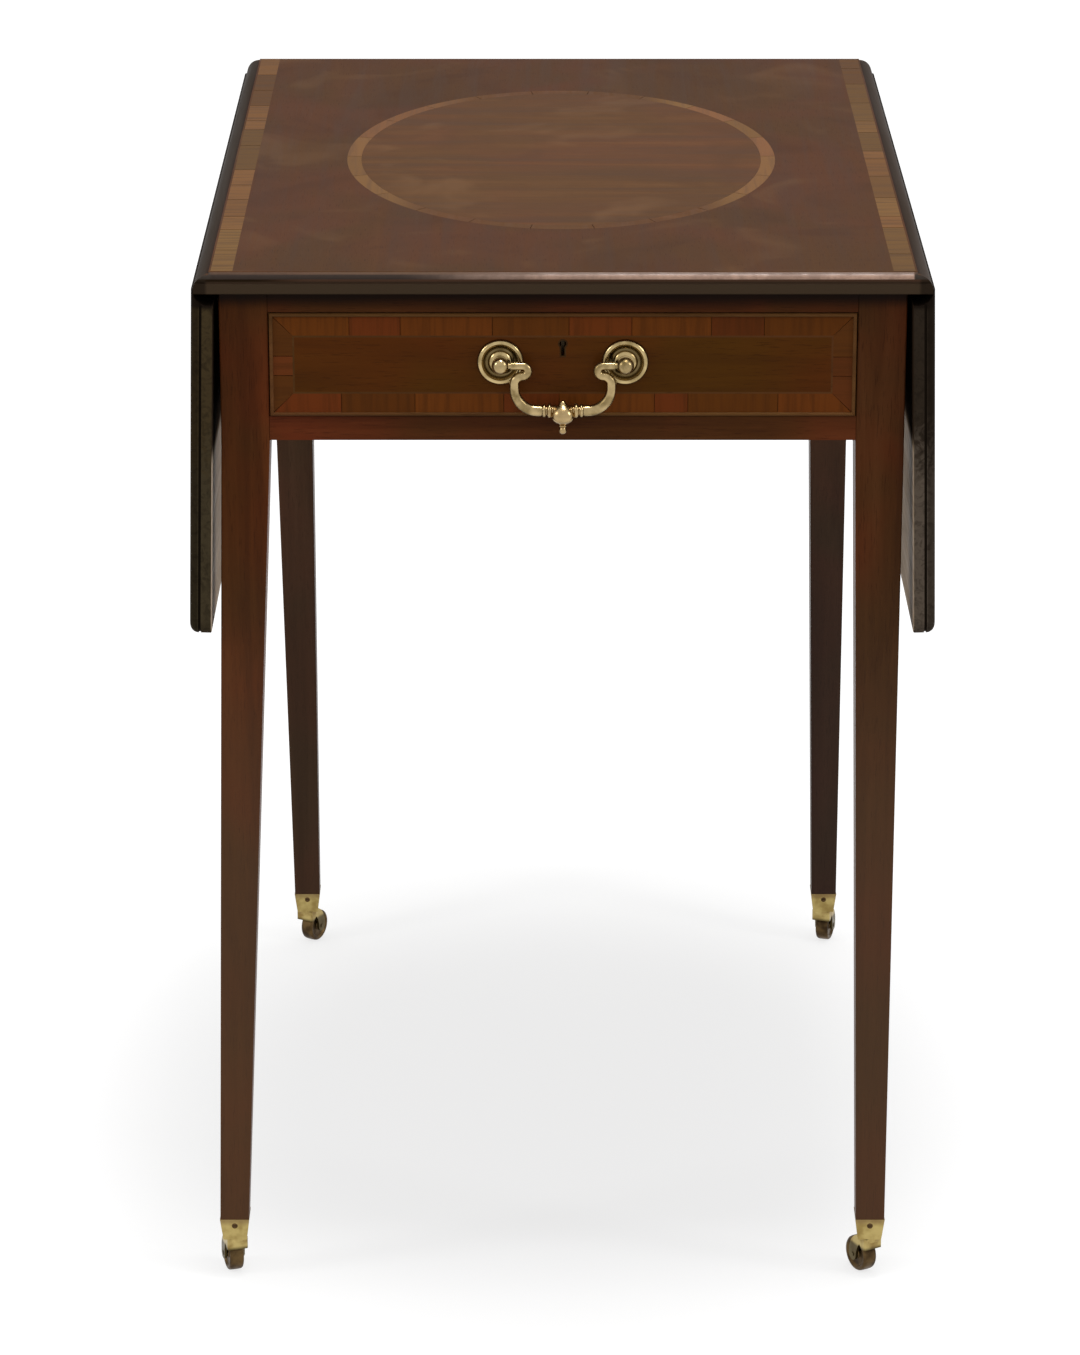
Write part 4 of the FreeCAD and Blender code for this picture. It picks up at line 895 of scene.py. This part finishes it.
OVAL_TONES = ((58, 38, 25), (86, 55, 35), (81, 55, 33), (106, 75, 51))
OVAL_PATCHES = ((72, 48, 32), (104, 75, 50))
BAND_PALE = ((110, 80, 49), (112, 76, 50), (80, 54, 35))


def oval_band_finish():
    finish = crossband("oval band", "Y", *BAND_PALE, depth=0.3)
    tree = finish.node_tree
    shader = next(node for node in tree.nodes if node.type == "BSDF_PRINCIPLED")
    place = add(tree, "ShaderNodeTexCoord").outputs["Object"]
    x, y, _ = separate(tree, place)
    aside = sums(tree, "ADD", sums(tree, "ABSOLUTE", x), times(tree, y, 0.10))
    pale = ease(tree, aside, 0.072, 0.108, 0.08, 1.0)
    veneer = wood_colour(tree, place, "X", OVAL_TONES, (0, 0, 0), 0.35)[0]
    banded = shader.inputs["Base Color"].links[0].from_socket
    wire(tree, shader, Base_Color=blend(tree, pale, veneer, banded))
    return finish


low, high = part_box("top_oval_banding")
panel_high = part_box("top_oval_panel")[1]
ring_values = {"Tiles": 22, "Columns in a tile": 12, "Outer": (high.x, high.y, 0),
               "Width": high.x - panel_high.x, "Base": low.z, "Depth": INLAY, "Seed": 4,
               "Finish": oval_band_finish()}
ring = gather("top_oval_band_tiles", [grow(oval_tree, oval_inputs, ring_values)])
settle("top_oval_band_tiles", ring, "frame", "oval_band", "top_oval_banding")
oval_wood, tree, shader, place = new_finish("oval veneer")
colour, height, streak = wood_colour(tree, place, "X", OVAL_TONES, (0.7, 0.2, 0), 0.6)
polish(tree, shader, patchy(tree, place, colour, *OVAL_PATCHES), height, streak, BOARD_ROUGH, HAZE)
dress(oval_wood, "top_oval_panel")

# %% [markdown]
# ## Light lines and beads
# A thin pale line frames the drawer: the bead round its edge, painted pale as its highlight, and a fine
# string inlaid inside the band.

# %% Dress the lines
# The bead is painted paler than the drawer front: a painted highlight.
BEAD_TONES_WITH_HIGHLIGHT = ((66, 40, 20), (112, 72, 40), (106, 72, 38), (130, 90, 54))
bead_wood = mahogany("bead", "X", BEAD_TONES_WITH_HIGHLIGHT, figure=0.5)
STRING_TONES = ((60, 34, 18), (98, 60, 32), (90, 58, 28), (116, 76, 44))
string_wood = mahogany("string line", "X", STRING_TONES, figure=0.5, shift=(0.3, 0, 0))
dress(bead_wood, "drawer_cockbeading", "rear_cockbeading")
dress(string_wood, "drawer_stringing", "rear_stringing")
print("lines dressed")

# %% [markdown]
# ## Brass
# Old brass is pale where hands rub it and olive brown where it is not. A soft noise moves between the
# two and a fine one makes the roughness uneven. Where the hollows or rubbed places are known, a
# colour follows the shape: painted shade in the sunk ring of a rosette and on the horn of a castor,
# a paler rubbed drop on the bail, and a browner band at the top of each castor cup.

# %% Build the brass finish
low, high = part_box("drawer_handle_rosettes")
handle_z = (low.z + high.z) / 2


# Painted shade: the sunk ring of a rosette is painted dark olive.
def sunk_ring(tree, x, y, z):
    """How deep a point of a rosette lies, from how far it stands out from the drawer front."""
    return ease(tree, sums(tree, "ABSOLUTE", y), 2.4 * MM - frieze_y, 1.0 * MM - frieze_y, 0.0, 0.8)


def rubbed_drop(tree, x, y, z):
    """The middle of the bail, where fingers take hold."""
    middle = ease(tree, sums(tree, "ABSOLUTE", x), 13 * MM, 7 * MM, 0.0, 0.6)
    return times(tree, middle, ease(tree, z, handle_z - 20 * MM, handle_z - 24 * MM))


# Painted shade: the lower horn and its cheeks are painted dark olive.
def shaded_horn(tree, x, y, z):
    return ease(tree, z, 23.5 * MM, 20.5 * MM, 0.0, 0.85)


# The top band of each cup is browner.
def cup_top_band(tree, x, y, z):
    return ease(tree, z, foot_z - 6 * MM, foot_z - 1 * MM, 0.0, 0.6)


def brass(name, pale, dull, rough, wear_stain_and_shade=None, wear_stain_and_shade_tone=None):
    finish, tree, shader, place = new_finish(name)
    patch = ease(tree, noise(tree, place, 120.0, 3.0, 0.5), 0.30, 0.74)
    grit = noise(tree, place, 1400.0, 3.0, 0.6)
    colour = blend(tree, patch, tone(*pale), tone(*dull))
    if wear_stain_and_shade:
        colour = blend(tree, wear_stain_and_shade(tree, *separate(tree, place)), colour, tone(*wear_stain_and_shade_tone))
    wire(tree, shader, Base_Color=colour, Metallic=1.0)
    wire(tree, shader, Roughness=ease(tree, patch, 0.0, 1.0, rough - 0.05, rough + 0.12))
    wire(tree, shader, Normal=relief(tree, grit, 0.00008, 0.35))
    return finish


handle_brass = brass("handle brass", (176, 154, 112), (116, 98, 62), 0.22, rubbed_drop, (174, 148, 106))
rosette_brass = brass("rosette brass", (188, 166, 120), (140, 120, 80), 0.18, sunk_ring, (70, 55, 29))
fitting_brass = brass("fitting brass", (184, 164, 106), (138, 114, 66), 0.34)
cup_brass = brass("castor cup brass", (180, 160, 102), (146, 124, 72), 0.34, cup_top_band, (122, 98, 68))
horn_brass = brass("castor horn brass", (184, 164, 106), (138, 114, 66), 0.34, shaded_horn, (64, 54, 32))
hinge_metal = brass("hinge metal", (96, 82, 62), (58, 48, 38), 0.5)
wheel_brass = brass("wheel patina", (98, 78, 50), (58, 44, 28), 0.42)
iron = brass("iron", (70, 62, 56), (40, 34, 30), 0.5)
key_brass = brass("keyhole brass", (62, 42, 22), (46, 28, 14), 0.5)
screw_brass = brass("screw brass", (96, 74, 48), (62, 46, 30), 0.45)
SLOT_METAL = {
    "handle_brass": handle_brass,
    "fitting_brass": fitting_brass,
    "wheel_brass": wheel_brass,
    "iron": iron,
}
for row in frame["record"]["subparts"]:
    if row["material_slot"] in SLOT_METAL:
        dress(SLOT_METAL[row["material_slot"]], row["node"])
dress(hinge_metal, "top_hinge_flaps", "leaf_hinge_flaps_left", "leaf_hinge_flaps_right", "drawer_lock")
dress(key_brass, "keyhole_escutcheon")
dress(cup_brass, "castor_cups")
dress(screw_brass, "castor_cup_screws")
dress(horn_brass, *[name for name in solids if name.startswith("castor_horn_")])
print("metals dressed")

# %% [markdown]
# ## Handle
# The handle hangs from two turned rosettes. Its bail is a swan neck: from each knob it hooks back
# under itself, runs down and sweeps round into a bar with turned beads and a small drop. The arms
# are swept along that path, growing thicker to the middle; bar, drop and rosettes are turned.

# %% Turn the rosettes
ROSETTE = [
    (15.0, 0.0), (15.0, 0.6), (14.85, 1.5), (14.4, 2.3), (13.7, 2.9), (12.9, 3.15), (12.1, 3.0),
    (11.4, 2.5), (10.9, 1.7), (10.4, 1.0), (9.6, 0.55), (8.6, 0.5), (7.8, 0.9), (7.3, 1.7), (6.7, 2.4),
    (5.8, 2.9), (4.6, 3.15), (2.6, 3.2),
]
SPACING = 80.5 * MM
HANDLES = (("drawer", "drawer_bail", "drawer_handle_", 1), ("frame", "rear_bail", "rear_handle_", -1))
for body, _, handle, front in HANDLES:
    node = handle + "rosettes"
    discs = []
    for sign in (-1, 1):
        centre = (sign * SPACING / 2, front * frieze_y, handle_z)
        discs.append(turned(ROSETTE, centre, (0, -front, 0), 72))
    settle(node + "_turned", shell(node, discs, rosette_brass), body, "handle_brass", node)

# %% Sweep and turn the bail
POST_REACH = 10.0
ROOT, HOOK, HOOK_RADIUS, NECK, SIDE, BEND, DROP = 33.45, 25.8, 3.4, 5.4, 31.2, 15.0, 29.8
BAR_HALF = 14.6
BAR_OVERLAP = 0.6
ARM_RADIUS, ARM_SWELL, ARM_SIDES = 2.7, 1.1, 20
PIN = [(2.0, 0), (2.0, 5.3)]
PIN_SUNK = 0.5
BAR_BEADS = [
    (3.35, 14.6), (3.3, 13.4), (3.9, 13.0), (4.4, 12.3), (4.4, 11.7), (3.9, 11.0), (3.0, 10.7),
    (3.0, 10.3), (4.1, 9.9), (4.8, 9.0), (4.8, 8.2), (4.1, 7.3), (3.0, 6.9), (3.0, 6.5), (3.8, 6.1),
    (4.2, 5.5), (3.8, 4.9), (3.2, 4.5), (3.7, 2.5), (4.0, 0.0),
]
DROP_TURNING = [
    (0.5, 0.0), (1.2, 0.2), (1.8, 1.0), (2.5, 2.0), (3.8, 3.1), (5.2, 4.2), (6.5, 5.6), (7.5, 7.2),
    (7.9, 8.6), (8.0, 9.9), (7.8, 11.2), (7.1, 12.5), (6.0, 13.6), (4.5, 14.6), (3.2, 15.4),
    (2.5, 15.9), (2.9, 16.3), (2.9, 16.8), (2.3, 17.3), (1.9, 17.9), (2.1, 18.4), (2.45, 19.2),
    (2.5, 20.0), (2.2, 21.0), (1.5, 21.8), (0.5, 22.25),
]
DROP_RISE = 6.6


def arc(centre, radius, start, end, steps=10):
    angles = [math.radians(start + (end - start) * n / steps) for n in range(steps + 1)]
    return [(centre[0] + radius * math.cos(a), centre[1] + radius * math.sin(a)) for a in angles]


def bail_path():
    """Middle line of the right arm, as (across, up) in millimetres from the knobs."""
    path = [(ROOT, 0.0), ((ROOT + HOOK) / 2, 0.0)]
    path += arc((HOOK, -HOOK_RADIUS), HOOK_RADIUS, 90, 270)
    path += arc((HOOK, -2 * HOOK_RADIUS - NECK), NECK, 90, 0)[1:]
    path += arc((SIDE - BEND, BEND - DROP), BEND, 0, -90, 16)
    path += [(BAR_HALF - BAR_OVERLAP, -DROP)]
    return path


def swept_arm(place, sign):
    """Tube along the path, thicker towards the bar."""
    path = bail_path()
    rings = []
    for n, (x, z) in enumerate(path):
        before = path[max(n - 1, 0)]
        after = path[min(n + 1, len(path) - 1)]
        ahead = Vector((sign * (after[0] - before[0]), 0, after[1] - before[1])).normalized()
        aside = ahead.cross(Vector((0, 1, 0)))
        radius = ARM_RADIUS + ARM_SWELL * n / len(path)
        ring = []
        for k in range(ARM_SIDES):
            angle = 2 * math.pi * k / ARM_SIDES
            spoke = Vector((0, math.cos(angle), 0)) + aside * math.sin(angle)
            ring.append(place + (Vector((sign * x, 0, z)) + spoke * radius) * MM)
        rings.append(ring)
    return skin(rings)


for _, body, handle, front in HANDLES:
    node = handle + "bail"
    place = Vector((0, front * (frieze_y - POST_REACH * MM), handle_z))
    bar = BAR_BEADS + [(radius, -x) for radius, x in reversed(BAR_BEADS[:-1])]
    low = place - UP * DROP * MM
    parts = [swept_arm(place, -1), swept_arm(place, 1)]
    parts.append(turned(bar, low, (1, 0, 0), 28))
    parts.append(turned(DROP_TURNING, low + UP * DROP_RISE * MM, (0, 0, -1), 32))
    for sign in (-1, 1):
        tip = place + Vector((sign * (ROOT - PIN_SUNK) * MM, 0, 0))
        parts.append(turned(PIN, tip, (sign, 0, 0), 20))
    settle(node + "_swept", shell(node, parts, handle_brass), body, "handle_brass", node)

# %% [markdown]
# ## Castor wheels
# A castor wheel is a small turned roller: a slightly crowned tread, a rim, a sunk side and a hub.
# The profile closes on itself round the hole for the axle.

# %% Turn the wheels
WHEEL = [
    (1.7, 4.9), (3.5, 4.9), (3.8, 4.6), (4.1, 4.0), (4.6, 3.8), (8.6, 3.8), (9.1, 4.2), (9.5, 4.8),
    (9.8, 5.0), (10.9, 5.0), (11.7, 4.7), (12.2, 4.1), (12.4, 3.3), (12.5, 1.5),
]
for row in frame["joints"]:
    if row["name"].endswith("_roll"):
        corner = row["name"][len("castor_"):-len("_roll")]
        node = "castor_wheel_" + corner
        profile = WHEEL + [(radius, -half) for radius, half in reversed(WHEEL)]
        hoop = turned(profile, row["pos_m"], row["axis"], 56, True)
        settle(node + "_turned", shell(node, [hoop], wheel_brass), row["child"], "wheel_brass", node)

# %% [markdown]
# ## Inside woods
# The drawer is lined with dry oak, and the rails and brackets behind the leaves are bare wood, paler
# and dustier than the show wood.

# %% Dress the inside
OAK_TONES = ((96, 70, 42), (150, 112, 72), (142, 112, 70), (172, 136, 94))
BARE_TONES = ((70, 46, 28), (112, 76, 48), (104, 76, 46), (134, 98, 66))
for grain in "XY":
    oak = mahogany("oak lining " + grain, grain, OAK_TONES, 0.62, 0.1, (0.2, 0.6, 0))
    bare = mahogany("bare wood " + grain, grain, BARE_TONES, 0.66, 0.08, (0.8, 0.1, 0))
    if grain == "X":
        dress(oak, "drawer_back", "drawer_bottom")
        dress(bare, "drawer_stops")
    else:
        dress(oak, "drawer_side_left", "drawer_side_right")
        dress(bare, "drawer_runners", "drawer_kickers")
        for side in ("left", "right"):
            dress(bare, "side_inner_rail_" + side, "side_outer_rail_" + side, "fly_bracket_" + side)
print("inside dressed")

# %% [markdown]
# ## Floor and light
# A pale floor without a horizon, soft light from all round, a broad lamp overhead and a slim one
# that draws the bright line along the front edge. The floor adds a little white for the camera only,
# so it stays white and yet keeps the shadow of the table; in an oval round the table it adds less,
# a painted shadow.

# %% Make the floor
FLOOR_HALF = 14.0
FLOOR_GLOW = 0.87
PAINTED_SHADOW_GLOW = 0.65
PAINTED_SHADOW_HALF = (0.30, 0.40)
FLOOR_GREY = (0.30, 0.30, 0.30, 1)
WHITE = (1, 1, 1, 1)


def looked_at(tree):
    """One for rays that show a surface to the camera, nought for rays that only carry light."""
    path = add(tree, "ShaderNodeLightPath").outputs
    seen = sums(tree, "MAXIMUM", path["Is Camera Ray"], path["Is Glossy Ray"])
    return sums(tree, "MAXIMUM", seen, path["Is Transmission Ray"])


floor_mesh = bpy.data.meshes.new("floor")
corners = [(-1, -1), (1, -1), (1, 1), (-1, 1)]
floor_mesh.from_pydata([(x * FLOOR_HALF, y * FLOOR_HALF, 0) for x, y in corners], [], [(0, 1, 2, 3)])
floor = bpy.data.objects.new("floor", floor_mesh)
scene.collection.objects.link(floor)
paper, tree, shader, place = new_finish("pale floor")
wire(tree, shader, Base_Color=FLOOR_GREY, Roughness=0.9, Specular_IOR_Level=0.0)
seen = looked_at(tree)
squeeze = (1 / PAINTED_SHADOW_HALF[0], 1 / PAINTED_SHADOW_HALF[1], 0)
squeezed = add(tree, "ShaderNodeMapping", {"Vector": place, "Scale": squeeze}).outputs[0]
away = add(tree, "ShaderNodeVectorMath", {0: squeezed}, operation="LENGTH").outputs[1]
# Painted shadow: less glow in an oval round the table.
glow = ease(tree, away, 0.6, 1.6, PAINTED_SHADOW_GLOW, FLOOR_GLOW)
wire(tree, shader, Emission_Color=WHITE, Emission_Strength=times(tree, seen, glow))
floor_mesh.materials.append(paper)
print("floor", 2 * FLOOR_HALF, "m square")

# %% Light the scene
world = bpy.data.worlds.new("studio")
scene.world = world
world.use_nodes = True
tree = world.node_tree
tree.nodes.clear()
seen = looked_at(tree)
soft = add(tree, "ShaderNodeBackground", {"Color": WHITE, "Strength": 0.62})
white = add(tree, "ShaderNodeBackground", {"Color": WHITE, "Strength": 1.0})
both = add(tree, "ShaderNodeMixShader", {0: seen, 1: soft.outputs[0], 2: white.outputs[0]})
add(tree, "ShaderNodeOutputWorld", {"Surface": both.outputs[0]})


def lamp(name, place, aim, width, depth, power):
    light = bpy.data.lights.new(name, "AREA")
    light.shape = "RECTANGLE"
    light.size = width
    light.size_y = depth
    light.energy = power
    holder = bpy.data.objects.new(name, light)
    holder.location = place
    holder.rotation_euler = (Vector(aim) - Vector(place)).to_track_quat("-Z", "Y").to_euler()
    scene.collection.objects.link(holder)


lamp("overhead", (0.2, 0.1, 2.6), (0, 0, 0.6), 1.4, 1.0, 14)
lamp("edge strip", (0.20, -0.45, 2.5), (0.2, -0.3, 0.7), 0.62, 0.36, 15)
lamp("left window", (-2.2, -1.0, 1.9), (0, -0.2, 0.6), 0.5, 0.9, 12)
lamp("right window", (2.2, -1.0, 1.9), (0, -0.2, 0.6), 0.5, 0.9, 12)
scene.view_settings.view_transform = "Standard"
print("lamps:", len(bpy.data.lights))
